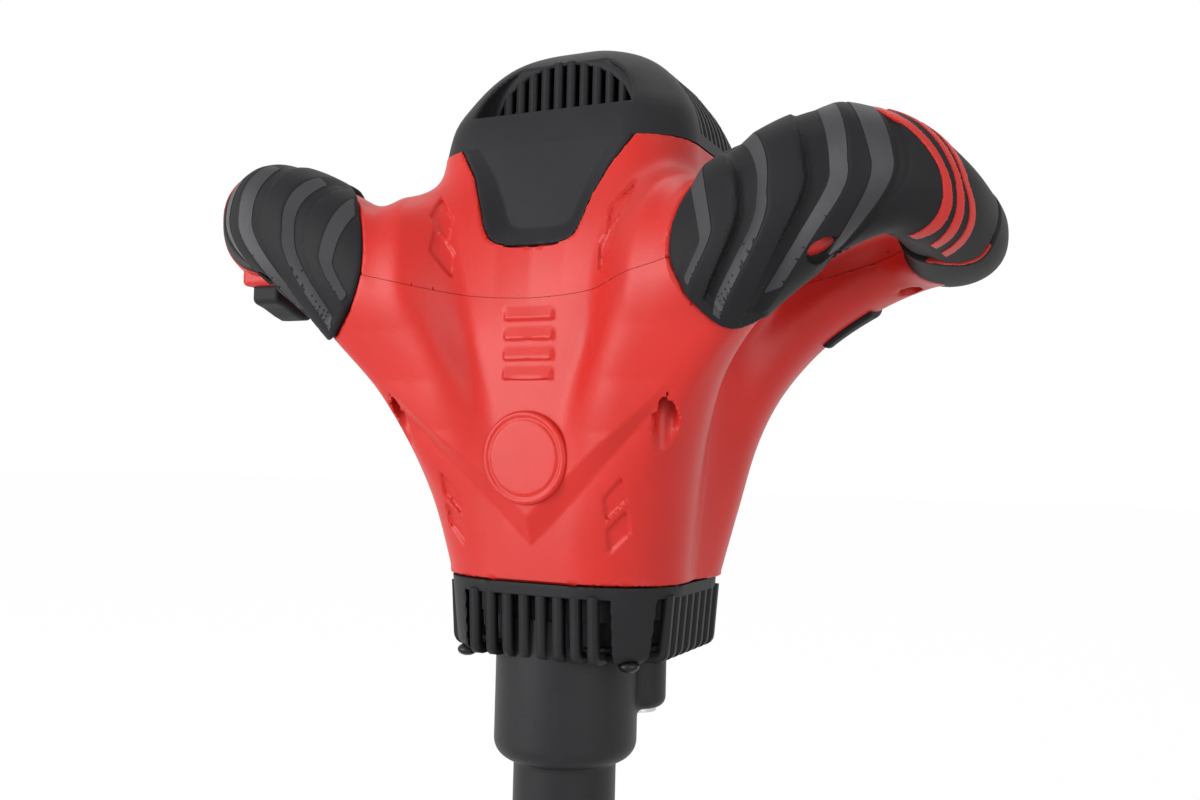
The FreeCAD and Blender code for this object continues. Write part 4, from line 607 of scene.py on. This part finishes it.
def stripe_form(points):
    loop, place, angle = limb(points, LOOP_PATH)
    below = np.maximum(angle, 0)
    width = np.minimum(1.45 + 1.2 * below, 2.7)
    form = np.maximum(np.abs(place - cover_end(angle)) - 0.5, (np.abs(angle - 1.3) - 0.75) * 17)
    for middle, lean, sweep, top_lean in STRIPES:
        line = middle + lean * below + sweep * below ** 2 + top_lean * np.minimum(angle, 0)
        band = np.maximum(np.abs(place - line) - width, (np.abs(angle - 0.13) - 1.34) * 17)
        form = np.minimum(form, band)
    return np.maximum(np.maximum(form, loop - 0.7), -(loop + 1.5))


axes = lattice((118, -78, 118), (178, 16, 178), 0.6)
places, faces = skin(sampled(stripe_form, axes), axes)
places = settled(places, stripe_form, 1)
pair(("plain_stripes", "trigger_stripes"), places, faces, red_moulding)

# Loop bumpers: harder black rubber caps round the loops' rear outer bends, which take the knocks when
# the drill is laid down.


def bumper_form(points):
    loop, place, angle = limb(points, LOOP_PATH)
    form = trim(loop - 0.6, np.maximum(cover_end(angle) + 0.5 - place, place - bumper_end(angle)), 1.8)
    form = np.maximum(form, -(loop + 4.5))
    return np.maximum(form, -(screw_wells(points) - 0.4))


axes = lattice((112, -34, 104), (180, 68, 166), 1.1)
places, faces = skin(sampled(bumper_form, axes), axes)
places = settled(places, bumper_form)
pair(("plain_loop_bumper", "trigger_loop_bumper"), places, faces, grip_rubber,
     ("plain_bumper", "trigger_bumper"))

# Rest pads: thick patches of black rubber on the backs of the rear limbs, on which the drill lies.
# Each is moulded to the limb's curve and glued into a shallow seat.


def pad_form(points):
    loop, place, angle = limb(points, LOOP_PATH)
    patch = np.maximum(np.abs(place - 350) - 15, (np.abs(angle - 0.6) - 1.05) * 19)
    return np.maximum(trim(loop - 2.0, patch, 2.5), -(loop + 2))


axes = lattice((74, 34, 80), (130, 76, 150), 1.0)
places, faces = skin(sampled(pad_form, axes), axes)
places = settled(places, pad_form, 1)
item = moulded("loop_rest_pads", np.vstack([places, places * (-1, 1, 1)]),
               np.vstack([faces, faces[:, ::-1] + len(places)]), grip_rubber)
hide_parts("rest_pads")
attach(item, "housing")

# Badge place: a plain round plate of the housing's plastic with a bevelled edge and one turned ring,
# seated on the bevelled front panel.


def front_wall(level):
    """How far forward the middle of the red front reaches at a level."""
    line = np.array([(0, y, level) for y in np.arange(-75, -40, 0.05)])
    return line[np.argmax(red_skin(line) < 0), 1]


PLATE_MIDDLE = 49.7
plate_lean = (front_wall(PLATE_MIDDLE + 14) - front_wall(PLATE_MIDDLE - 14)) / 28
plate_face = front_wall(PLATE_MIDDLE) - 2.4


def badge_form(points):
    x, y, z = points.T
    radius = np.hypot(x, z - PLATE_MIDDLE)
    ring = 0.5 * (1 - ramp(np.abs(radius - 15.6), 0.4, 1.0))
    face = plate_face + plate_lean * (z - PLATE_MIDDLE) + ring - y
    return np.maximum(trim(face, radius - 18.6, 1.6), y - plate_face - 7)


axes = lattice((-22, -72, 28), (22, -44, 72), 0.7)
places, faces = skin(sampled(badge_form, axes), axes)
item = moulded("round_badge_plate", settled(places, badge_form, 1), faces, red_moulding)
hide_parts("front_badge")
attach(item, "housing")

# Motor cap: a charcoal arch-shaped lid with a brow across its front, a grille set back above the brow
# and a slotted panel on each side. Four screws hold it down on the upper housing.
CAP = [  # level, half width, front, back, front corner, back corner
    (170, 58, 49.5, 50, 24, 27), (178, 57.5, 49, 50, 24, 28), (191, 55, 46.5, 49, 23, 31),
    (201, 50, 42, 46.5, 22, 33), (211, 42, 37, 43, 20, 33), (218, 33.5, 31.5, 38, 17, 29),
    (222.5, 24, 25, 31, 14, 22), (225.5, 13, 17, 22, 9, 12), (226.5, 4, 8, 12, 3, 4),
]
CAP_TABLE = curve_through(CAP, 3.0)
GRILLE_FACE = -34.0
CAP_FOOT = 178.1


def cap_solid(points):
    x, y, z = points.T
    level = CAP_TABLE[:, 0]
    half, front, back, near_corner, far_corner = (np.interp(z, level, CAP_TABLE[:, k]) for k in range(1, 6))
    corner = near_corner + (far_corner - near_corner) * ramp(y, -6, 12)
    form = rounded_square(x, y - (back - front) / 2, half, (front + back) / 2, corner)
    return np.maximum(form * 0.8, z - 226.2)


def arch_window(points, half, height, sill):
    """Inside of an arch on the cap's front, negative within it."""
    x, y, z = points.T
    arch = np.sqrt((x / half) ** 2 + (np.maximum(z - 191, 0) / height) ** 2)
    return np.maximum(np.maximum((arch - 1) * height, sill - z), y + 8)


def cap_form(points):
    x, y, z = points.T
    solid = cap_solid(points)
    form = np.maximum(np.maximum(solid, CAP_FOOT - z), -(solid + 8.0))
    form = trim(form, -np.maximum(arch_window(points, 36, 28, 192.5), y - GRILLE_FACE), 1.2)
    plate = np.maximum(np.abs(y - GRILLE_FACE - 2) - 2, arch_window(points, 40, 32, 188))
    shelf = np.maximum(np.maximum(np.abs(z - 190.7) - 1.8, y - GRILLE_FACE - 4), np.abs(x) - 38)
    form = np.minimum(form, np.maximum(np.minimum(plate, shelf), solid))
    form = np.maximum(form, -np.maximum(arch_window(points, 32, 24, 194.5), y - GRILLE_FACE - 8))
    side_window = np.maximum(184 - z, z - 210 + np.maximum(np.abs(y - 4) - 16, 0) * 0.7)
    side_window = np.maximum(np.maximum(side_window, np.abs(y - 4) - 23.9), 28 - np.abs(x))
    form = np.maximum(form, -side_window)
    for across in (45, -45):
        well = np.hypot(x - across, y - 34) - 4.6
        form = np.maximum(form, -np.maximum(well, 181 - z))
    return form


charcoal_plastic = textured_plastic(
    "charcoal_plastic", (0.019, 0.0192, 0.021), 0.50, 1500.0, 0.28, 0.10, 0.14)
axes = lattice((-61, -53, 176), (61, 54, 230), 0.9)
places, faces = skin(sampled(cap_form, axes), axes)
places = drawn_to_edge(settled(places, cap_form), cap_solid, lambda points: CAP_FOOT - points[:, 2], 0.7)
item = moulded("arched_cap", places, faces, charcoal_plastic)
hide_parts("motor_cap")
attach(item, "housing")

# Cap shield: the tongue of charcoal plastic below the brow. Its rim lies flush in a cut-out of the red
# housing and slopes in to a flat satin panel that is set back and runs up into the cap.
SHIELD_TOP = 178.08


def shield_panel(points):
    x, y, z = points.T
    level = (130, 143, 165, 178, 190)
    return rounded_square(x, y, np.interp(z, level, (61, 60, 58.5, 57.5, 56)),
                          np.interp(z, level, (53, 52, 50.2, 49, 47.5)), 24)


def shield_form(points):
    outline = shield_outline(points) + 0.25
    rim = red_skin(points) - 0.3
    panel = shield_panel(points)
    share = np.clip(-outline / 7.6, 0, 1)
    form = trim(rim * (1 - share) + np.maximum(panel, rim) * share, outline, 2.2)
    form = np.maximum(form, -(panel + 5))
    return np.maximum(np.maximum(form, points[:, 1] + 30), points[:, 2] - SHIELD_TOP)


axes = lattice((-54, -66, 130), (54, -26, 181), 0.8)
places, faces = skin(sampled(shield_form, axes), axes)
places = settled(places, shield_form, 1)
places = drawn_to_edge(places, shield_panel, lambda points: points[:, 2] - SHIELD_TOP, 0.7)
item = moulded("front_shield", places, faces, charcoal_plastic)
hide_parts("cap_shield")
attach(item, "housing")

# Vent ribs: charcoal bars that stand side by side in the windows of cap and collar and follow the wall
# on which they stand. They are moulded in one with the frame round their window.
RIB_STEPS = 9


def rib_tree():
    """A tree that draws a bar of square section along each path."""
    tree = bpy.data.node_groups.new("vent_ribs", "GeometryNodeTree")
    tree.interface.new_socket("Paths", in_out="INPUT", socket_type="NodeSocketGeometry")
    for name in ("Rib Width", "Rib Depth"):
        tree.interface.new_socket(name, in_out="INPUT", socket_type="NodeSocketFloat")
    tree.interface.new_socket("Finish", in_out="INPUT", socket_type="NodeSocketMaterial")
    tree.interface.new_socket("Ribs", in_out="OUTPUT", socket_type="NodeSocketGeometry")
    given = tree.nodes.new("NodeGroupInput")
    made = tree.nodes.new("NodeGroupOutput")
    path = tree.nodes.new("GeometryNodeMeshToCurve")
    section = tree.nodes.new("GeometryNodeCurvePrimitiveQuadrilateral")
    swept = tree.nodes.new("GeometryNodeCurveToMesh")
    swept.inputs["Fill Caps"].default_value = True
    real = tree.nodes.new("GeometryNodeRealizeInstances")
    finish = tree.nodes.new("GeometryNodeSetMaterial")
    link = tree.links.new
    link(given.outputs["Paths"], path.inputs["Mesh"])
    link(given.outputs["Rib Width"], section.inputs["Width"])
    link(given.outputs["Rib Depth"], section.inputs["Height"])
    link(path.outputs["Curve"], swept.inputs["Curve"])
    link(section.outputs["Curve"], swept.inputs["Profile Curve"])
    link(swept.outputs["Mesh"], real.inputs["Geometry"])
    link(real.outputs["Geometry"], finish.inputs["Geometry"])
    link(given.outputs["Finish"], finish.inputs["Material"])
    link(finish.outputs["Geometry"], made.inputs["Ribs"])
    return tree


def grown(name, tree, lines, inputs, turns=()):
    """Runs a tree on lines of points, each point with its turn if it has one, and keeps the plain mesh."""
    points = []
    edges = []
    for line in lines:
        edges += [(len(points) + step, len(points) + step + 1) for step in range(len(line) - 1)]
        points += [(Vector(place) + Vector(SEAT)) / 1000 for place in line]
    mesh = bpy.data.meshes.new(name + "_seed")
    mesh.from_pydata(points, edges, [])
    if turns:
        layer = mesh.attributes.new("turn", "FLOAT_VECTOR", "POINT")
        layer.data.foreach_set("vector", [value for turn in turns for value in turn])
    holder = bpy.data.objects.new(name + "_seed", mesh)
    bpy.context.scene.collection.objects.link(holder)
    modifier = holder.modifiers.new("growing", "NODES")
    modifier.node_group = tree
    for socket in tree.interface.items_tree:
        if socket.in_out == "INPUT" and socket.name in inputs:
            modifier[socket.identifier] = inputs[socket.name]
    evaluated = holder.evaluated_get(bpy.context.evaluated_depsgraph_get())
    baked = bpy.data.meshes.new_from_object(evaluated)
    item = bpy.data.objects.new(name, baked)
    bpy.context.scene.collection.objects.link(item)
    bpy.data.objects.remove(holder)
    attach(item, "housing")
    return item


def sunk_place(start, inward, depth):
    """The first point, going inward from a start, that lies a depth under the cap's skin."""
    line = np.array(start) + np.arange(0, 60, 0.05)[:, None] * np.array(inward)
    return line[np.argmax(cap_solid(line) < -depth)]


ribs = rib_tree()
front_paths = []
for x in np.arange(-27, 28, 6):
    levels = np.linspace(193.5, 192.5 + 24 * math.sqrt(1 - (x / 32) ** 2), RIB_STEPS)
    front_paths.append([(x, GRILLE_FACE + 2, level) for level in levels])
grown("cap_grille_ribs", ribs, front_paths,
      {"Rib Width": 0.0032, "Rib Depth": 0.0036, "Finish": charcoal_plastic})
side_paths = []
for side in (-1, 1):
    for y in np.arange(-15.6, 24, 5.6):
        levels = np.linspace(183, 211 - max(abs(y - 4) - 16, 0) * 0.7, RIB_STEPS)
        side_paths.append([sunk_place((side * 70, y, level), (-side, 0, 0), 1.8) for level in levels])
grown("cap_side_ribs", ribs, side_paths,
      {"Rib Width": 0.0026, "Rib Depth": 0.003, "Finish": charcoal_plastic})
collar_paths = []
rib_line = [(49.5 - 0.08 * drop, -drop) for drop in np.linspace(3.5, 26, 6)]
rib_line += [(44.7 + 2.7 * math.cos(turn), -26 - 2.7 * math.sin(turn)) for turn in (0.4, 0.8, 1.2, 1.57)]
rib_line += [(36.5, -28.7)]
for along in np.arange(-26.6, 27, 7.6):
    for side in (-1, 1):
        collar_paths.append([(along, side * deep, level) for deep, level in rib_line])
        collar_paths.append([(side * deep, along, level) for deep, level in rib_line])
grown("collar_ribs", ribs, collar_paths,
      {"Rib Width": 0.0034, "Rib Depth": 0.0042, "Finish": charcoal_plastic})

# Vent collar: the charcoal ring between housing and gear case. It narrows downwards, its walls have wide
# windows that run out through the rounded lower edge, and the screws pass through its plain corners.
SPINDLE_DEEP = -17
IDLER_PLACE = (23.54, 4.68)


def collar_form(points):
    x, y, z = points.T
    half = 52 + 0.08 * np.minimum(z, 0)
    outline = rounded_square(x, y, half, half, 36)
    edge = np.where(z < -26, np.hypot(np.maximum(outline + 5, 0), np.maximum(-26 - z, 0)) - 5, outline)
    form = np.maximum(np.maximum(edge, z + 0.1), -31.0 - z)
    hollow = np.maximum(outline + 4.2, -28.0 - z)
    form = np.maximum(form, -hollow)
    for along, deep in ((x, y), (y, x)):
        window = np.maximum(np.maximum(np.abs(along) - 32.8, z + 4.9), 38 - np.abs(deep))
        form = np.maximum(form, -window)
    nose = np.hypot(x, y - SPINDLE_DEEP) - 30.4
    boss = np.hypot(x - IDLER_PLACE[0], y - IDLER_PLACE[1]) - 12.4
    return np.maximum(form, -np.minimum(nose, boss))


axes = lattice((-54, -54, -32.5), (54, 54, 1), 0.8)
places, faces = skin(sampled(collar_form, axes), axes)
item = moulded("slotted_collar", settled(places, collar_form), faces, charcoal_plastic)
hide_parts("vent_collar")
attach(item, "housing")

# Gear case: a black painted aluminium casting with a round nose, the bulge of the idler shaft beside
# it and the turned clamp neck below.


def case_form(points):
    x, y, z = points.T
    radius = np.hypot(x, y - SPINDLE_DEEP)
    drop = -67.0 - z
    nose = np.where(drop > 0, np.hypot(np.maximum(radius - 22, 0), drop) - 8, radius - 30)
    nose = np.maximum(nose, -75.0 - z)
    nose = np.maximum(nose, z + 14.8)
    bulge_radius = np.hypot(x - IDLER_PLACE[0], y - IDLER_PLACE[1])
    fall = -51.0 - z
    bulge = np.where(fall > 0, np.hypot(np.maximum(bulge_radius - 7.5, 0), fall) - 4.5, bulge_radius - 12)
    bulge = np.maximum(bulge, z + 14.8)
    form = melt(nose, bulge, 3.0)
    neck = np.maximum(np.maximum(radius - 21.5, -115 - z), z + 70)
    form = melt(form, neck, 2.0)
    form = np.maximum(form, -np.maximum(radius - 15.4, z + 60))
    flange = np.maximum(np.hypot(x, y) - 46.5, np.abs(z + 26.4) - 1.4)
    chamber = np.maximum(bulge_radius - 25, np.abs(z + 20) - 5.2)
    return np.minimum(form, np.minimum(flange, chamber))


cast_black = textured_plastic("cast_black", (0.019, 0.0192, 0.021), 0.46, 1100.0, 0.24, 0.10, 0.2)
axes = lattice((-49, -50, -117), (49, 49, -13), 0.95)
places, faces = skin(sampled(case_form, axes), axes)
item = moulded("cast_gear_case", settled(places, case_form), faces, cast_black)
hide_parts("gear_case")
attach(item, "housing")

# Trigger seat: the red frame under the trigger limb, moulded in one with the lower housing, in which
# the black trigger slides up against its switch.


def seat_form(points):
    x, y = TRIGGER_PLACE
    frame_block = block(points, (x - 8.0, y - 15.0, 129), (x + 8.0, y + 15.0, 141)) - 2.5
    room = block(points, (x - 8.3, y - 13.3, 100), (x + 8.3, y + 13.3, 135))
    upper_room = block(points, (x - 8.3, y - 15.3, 133.5), (x + 8.3, y + 15.3, 160))
    return np.maximum(frame_block, -np.minimum(room, upper_room))


axes = lattice((-164, -48, 124), (-137, -8, 146), 0.6)
places, faces = skin(sampled(seat_form, axes), axes)
item = moulded("trigger_frame", places, faces, red_moulding)
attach(item, "housing")


def trigger_form(points):
    x, y = TRIGGER_PLACE
    curve = np.interp(points[:, 1] - y, (-13, -6, 2, 7, 11, 13), (119, 117.2, 114.2, 112.8, 113.2, 115))
    low = points.copy()
    low[:, 2] = low[:, 2] - curve
    finger = block(low, (x - 5.5, y - 10.5, 2.5), (x + 5.5, y + 10.5, 60)) - 2.5
    finger = np.maximum(finger, points[:, 2] - 134)
    lips = block(points, (x - 8.0, y - 15.0, 133.5), (x + 8.0, y + 15.0, 136.5))
    pocket = np.maximum(np.hypot(points[:, 0] - x, points[:, 1] - y) - 4.3, 128.5 - points[:, 2])
    return np.maximum(np.minimum(finger, lips), -pocket)


axes = lattice((-161, -46, 110), (-140, -10, 139), 0.6)
places, faces = skin(sampled(trigger_form, axes), axes)
item = moulded("finger_trigger", settled(places, trigger_form, 1), faces, charcoal_plastic)
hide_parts("trigger")
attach(item, "trigger")

# Screws: black thread-forming screws with a domed head and a six-point socket, driven from below into
# the collar, body and handles and from above into the cap.


def screw_tree():
    """A tree that puts one domed socket head on each point, its crown along the point's upright."""
    tree = bpy.data.node_groups.new("socket_screws", "GeometryNodeTree")
    tree.interface.new_socket("Points", in_out="INPUT", socket_type="NodeSocketGeometry")
    for name in ("Head Radius", "Head Height", "Socket Radius"):
        tree.interface.new_socket(name, in_out="INPUT", socket_type="NodeSocketFloat")
    tree.interface.new_socket("Finish", in_out="INPUT", socket_type="NodeSocketMaterial")
    tree.interface.new_socket("Screws", in_out="OUTPUT", socket_type="NodeSocketGeometry")
    given = tree.nodes.new("NodeGroupInput")
    made = tree.nodes.new("NodeGroupOutput")
    link = tree.links.new
    head = tree.nodes.new("GeometryNodeMeshUVSphere")
    head.inputs["Segments"].default_value = 28
    head.inputs["Rings"].default_value = 14
    link(given.outputs["Head Radius"], head.inputs["Radius"])
    flat = tree.nodes.new("GeometryNodeTransform")
    ratio = tree.nodes.new("ShaderNodeMath")
    ratio.operation = "DIVIDE"
    link(given.outputs["Head Height"], ratio.inputs[0])
    link(given.outputs["Head Radius"], ratio.inputs[1])
    squat = tree.nodes.new("ShaderNodeCombineXYZ")
    squat.inputs["X"].default_value = 1
    squat.inputs["Y"].default_value = 1
    link(ratio.outputs["Value"], squat.inputs["Z"])
    link(head.outputs["Mesh"], flat.inputs["Geometry"])
    link(squat.outputs["Vector"], flat.inputs["Scale"])
    socket = tree.nodes.new("GeometryNodeMeshCylinder")
    socket.inputs["Vertices"].default_value = 6
    link(given.outputs["Socket Radius"], socket.inputs["Radius"])
    link(given.outputs["Head Height"], socket.inputs["Depth"])
    raised = tree.nodes.new("GeometryNodeTransform")
    lift = tree.nodes.new("ShaderNodeCombineXYZ")
    link(given.outputs["Head Height"], lift.inputs["Z"])
    link(socket.outputs["Mesh"], raised.inputs["Geometry"])
    link(lift.outputs["Vector"], raised.inputs["Translation"])
    drilled = tree.nodes.new("GeometryNodeMeshBoolean")
    drilled.operation = "DIFFERENCE"
    link(flat.outputs["Geometry"], drilled.inputs["Mesh 1"])
    link(raised.outputs["Geometry"], drilled.inputs["Mesh 2"])
    stood = tree.nodes.new("GeometryNodeInstanceOnPoints")
    turn = tree.nodes.new("GeometryNodeInputNamedAttribute")
    turn.data_type = "FLOAT_VECTOR"
    turn.inputs["Name"].default_value = "turn"
    link(given.outputs["Points"], stood.inputs["Points"])
    link(drilled.outputs["Mesh"], stood.inputs["Instance"])
    link(turn.outputs["Attribute"], stood.inputs["Rotation"])
    real = tree.nodes.new("GeometryNodeRealizeInstances")
    finish = tree.nodes.new("GeometryNodeSetMaterial")
    link(stood.outputs["Instances"], real.inputs["Geometry"])
    link(real.outputs["Geometry"], finish.inputs["Geometry"])
    link(given.outputs["Finish"], finish.inputs["Material"])
    link(finish.outputs["Geometry"], made.inputs["Screws"])
    return tree


screws = screw_tree()
black_oxide = textured_plastic("black_oxide", (0.03, 0.03, 0.032), 0.36, 600.0, 0.10, 0.15)
black_oxide.node_tree.nodes["Principled BSDF"].inputs["Metallic"].default_value = 1.0
head_sizes = {"Head Radius": 0.0042, "Head Height": 0.0026, "Socket Radius": 0.0019, "Finish": black_oxide}
DOWN = (math.pi, 0, 0)
UP = (0, 0, 0)
screw_sets = {
    "collar_screws": (DOWN, [(sx * 37, sy * 37, -31.2) for sx in (-1, 1) for sy in (-1, 1)]),
    "body_screws": (DOWN, [(sx * across, deep, screw_seat(across))
                           for across, deep in SCREW_PLACES[:2] for sx in (-1, 1)]),
    "handle_screws": (DOWN, [(sx * across, deep, screw_seat(across))
                             for across, deep in SCREW_PLACES[2:] for sx in (-1, 1)]),
    "cap_screws": (UP, [(sx * 45, sy * 34, 181) for sx in (-1, 1) for sy in (-1, 1)]),
}
for node, (turn, spots) in screw_sets.items():
    lines = [[spot] for spot in spots]
    heads = grown(node + "_heads", screws, lines, head_sizes, [turn] * len(spots))
    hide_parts(node)

# Machined and bought-in parts: the CAD solids with their own finishes. Steel is ground or turned, with
# fine marks round the axis; aluminium is as cast; the rest is plain plastic, rubber or copper wire.


def metal(name, colour, roughness, stretch):
    material = bpy.data.materials.new(name)
    material.use_nodes = True
    tree = material.node_tree
    shader = tree.nodes["Principled BSDF"]
    shader.inputs["Metallic"].default_value = 1.0
    shader.inputs["Base Color"].default_value = colour + (1,)
    coords = tree.nodes.new("ShaderNodeTexCoord")
    mapping = tree.nodes.new("ShaderNodeMapping")
    mapping.inputs["Scale"].default_value = stretch
    marks = add_node(tree, "ShaderNodeTexNoise", Scale=240.0, Detail=4.0)
    gloss = add_node(tree, "ShaderNodeMapRange")
    gloss.inputs["To Min"].default_value = roughness - 0.08
    gloss.inputs["To Max"].default_value = roughness + 0.12
    bump = add_node(tree, "ShaderNodeBump", Strength=0.12, Distance=0.0002)
    tree.links.new(coords.outputs["Object"], mapping.inputs["Vector"])
    tree.links.new(mapping.outputs["Vector"], marks.inputs["Vector"])
    tree.links.new(marks.outputs["Fac"], gloss.inputs["Value"])
    tree.links.new(gloss.outputs["Result"], shader.inputs["Roughness"])
    tree.links.new(marks.outputs["Fac"], bump.inputs["Height"])
    tree.links.new(bump.outputs["Normal"], shader.inputs["Normal"])
    return material


turned_steel = metal("turned_steel", (0.56, 0.57, 0.59), 0.28, (1, 1, 14))
cast_aluminium = metal("cast_aluminium", (0.62, 0.63, 0.65), 0.45, (1, 1, 1))
lamination_steel = metal("lamination_steel", (0.22, 0.22, 0.24), 0.42, (1, 1, 30))
magnet_nickel = metal("magnet_nickel", (0.42, 0.42, 0.43), 0.25, (1, 1, 1))
copper_wire = metal("copper_wire", (0.72, 0.30, 0.14), 0.34, (1, 1, 22))
board_green = textured_plastic("board_green", (0.02, 0.15, 0.06), 0.45, 300.0, 0.1, 0.2)
seal_rubber = textured_plastic("seal_rubber", (0.012, 0.012, 0.013), 0.62, 900.0, 0.2, 0.12)
finishes = {
    "steel": turned_steel, "aluminium": cast_aluminium, "lamination": lamination_steel,
    "magnet": magnet_nickel, "copper": copper_wire, "board_green": board_green,
    "seal_rubber": seal_rubber, "black_plastic": charcoal_plastic, "grip_rubber": grip_rubber,
    "red_plastic": red_moulding, "cast_black": cast_black, "dark_screw": black_oxide,
}
for subpart in frame["record"]["subparts"]:
    solid = frame["nodes"][subpart["node"]]
    solid.data.materials.clear()
    solid.data.materials.append(finishes[subpart["material_slot"]])
# Motor bracket and sleeve, seen through the collar's windows, get the black cast finish in place of their
# aluminium: painted shade that keeps those windows dark.
for node in ("motor_bracket", "motor_sleeve"):
    frame["nodes"][node].data.materials.clear()
    frame["nodes"][node].data.materials.append(cast_black)

# Studio: a pale floor under a white surround, a broad low key from the front left, a weak fill from the
# right and a soft strip overhead.
floor_mesh = bpy.data.meshes.new("pale_floor")
floor_mesh.from_pydata([(-6, -6, 0), (6, -6, 0), (6, 6, 0), (-6, 6, 0)], [], [(0, 1, 2, 3)])
floor = bpy.data.objects.new("pale_floor", floor_mesh)
bpy.context.scene.collection.objects.link(floor)
floor_finish = bpy.data.materials.new("pale_floor")
floor_finish.use_nodes = True
floor_tree = floor_finish.node_tree
floor_shader = floor_tree.nodes["Principled BSDF"]
floor_shader.inputs["Base Color"].default_value = (0.86, 0.86, 0.86, 1)
floor_shader.inputs["Roughness"].default_value = 0.9
glow = add_node(floor_tree, "ShaderNodeEmission", Strength=1.015)
mixed = floor_tree.nodes.new("ShaderNodeMixShader")


def sight_share(tree):
    """1 for a look from the camera, straight, mirrored or through glass; 0 for light on its way."""
    ray = tree.nodes.new("ShaderNodeLightPath")
    most = ray.outputs["Is Camera Ray"]
    for kind in ("Is Glossy Ray", "Is Transmission Ray"):
        larger = tree.nodes.new("ShaderNodeMath")
        larger.operation = "MAXIMUM"
        tree.links.new(most, larger.inputs[0])
        tree.links.new(ray.outputs[kind], larger.inputs[1])
        most = larger.outputs["Value"]
    return most


seen = floor_tree.nodes.new("ShaderNodeMath")
seen.operation = "MULTIPLY"
seen.inputs[1].default_value = 0.965
floor_tree.links.new(sight_share(floor_tree), seen.inputs[0])
floor_tree.links.new(seen.outputs["Value"], mixed.inputs["Fac"])
floor_tree.links.new(floor_shader.outputs["BSDF"], mixed.inputs[1])
floor_tree.links.new(glow.outputs["Emission"], mixed.inputs[2])
floor_tree.links.new(mixed.outputs["Shader"], floor_tree.nodes["Material Output"].inputs["Surface"])
floor_mesh.materials.append(floor_finish)

world = bpy.data.worlds.new("white_studio")
bpy.context.scene.world = world
world.use_nodes = True
sky = world.node_tree
room = sky.nodes["Background"]
room.inputs["Color"].default_value = (1, 1, 1, 1)
room.inputs["Strength"].default_value = 0.28
backdrop = add_node(sky, "ShaderNodeBackground", Strength=1.0)
backdrop.inputs["Color"].default_value = (1, 1, 1, 1)
choice = sky.nodes.new("ShaderNodeMixShader")
sky.links.new(sight_share(sky), choice.inputs["Fac"])
sky.links.new(room.outputs["Background"], choice.inputs[1])
sky.links.new(backdrop.outputs["Background"], choice.inputs[2])
sky.links.new(choice.outputs["Shader"], sky.nodes["World Output"].inputs["Surface"])


def softbox(name, place, target, width, height, power):
    light = bpy.data.lights.new(name, "AREA")
    light.shape = "RECTANGLE"
    light.size = width
    light.size_y = height
    light.energy = power
    item = bpy.data.objects.new(name, light)
    bpy.context.scene.collection.objects.link(item)
    aim = (Vector(target) - Vector(place)).to_track_quat("-Z", "Y")
    item.matrix_world = Matrix.Translation(Vector(place)) @ aim.to_matrix().to_4x4()
    return item


softbox("key_softbox", (-0.70, -1.05, 0.35), (0, 0, 0.24), 0.7, 0.8, 13)
softbox("fill_softbox", (1.15, -0.75, 0.40), (0, 0, 0.26), 0.8, 0.9, 7)
softbox("top_strip", (0.0, 0.25, 1.35), (0, 0, 0.25), 1.1, 0.5, 3)

# Camera: low in front of the drill and to its right, as the photograph was taken. It looks up a little,
# so that the undersides of the grips show.
camera_data = bpy.data.cameras.new("photo_camera")
camera_data.lens = 34.2
camera_data.sensor_width = 36.0
camera_data.clip_start = 0.01
camera = bpy.data.objects.new("photo_camera", camera_data)
bpy.context.scene.collection.objects.link(camera)
right = Vector((0.90559, 0.42347, 0.02388))
upward = Vector((-0.00031, -0.05563, 0.99844))
sightline = Vector((-0.42414, 0.90420, 0.05025))
camera.matrix_world = Matrix.Translation(Vector((0.2170, -0.4362, 0.1876))) @ Matrix(
    (right, upward, -sightline)).transposed().to_4x4()
bpy.context.scene.camera = camera
bpy.context.scene.view_settings.view_transform = "Standard"
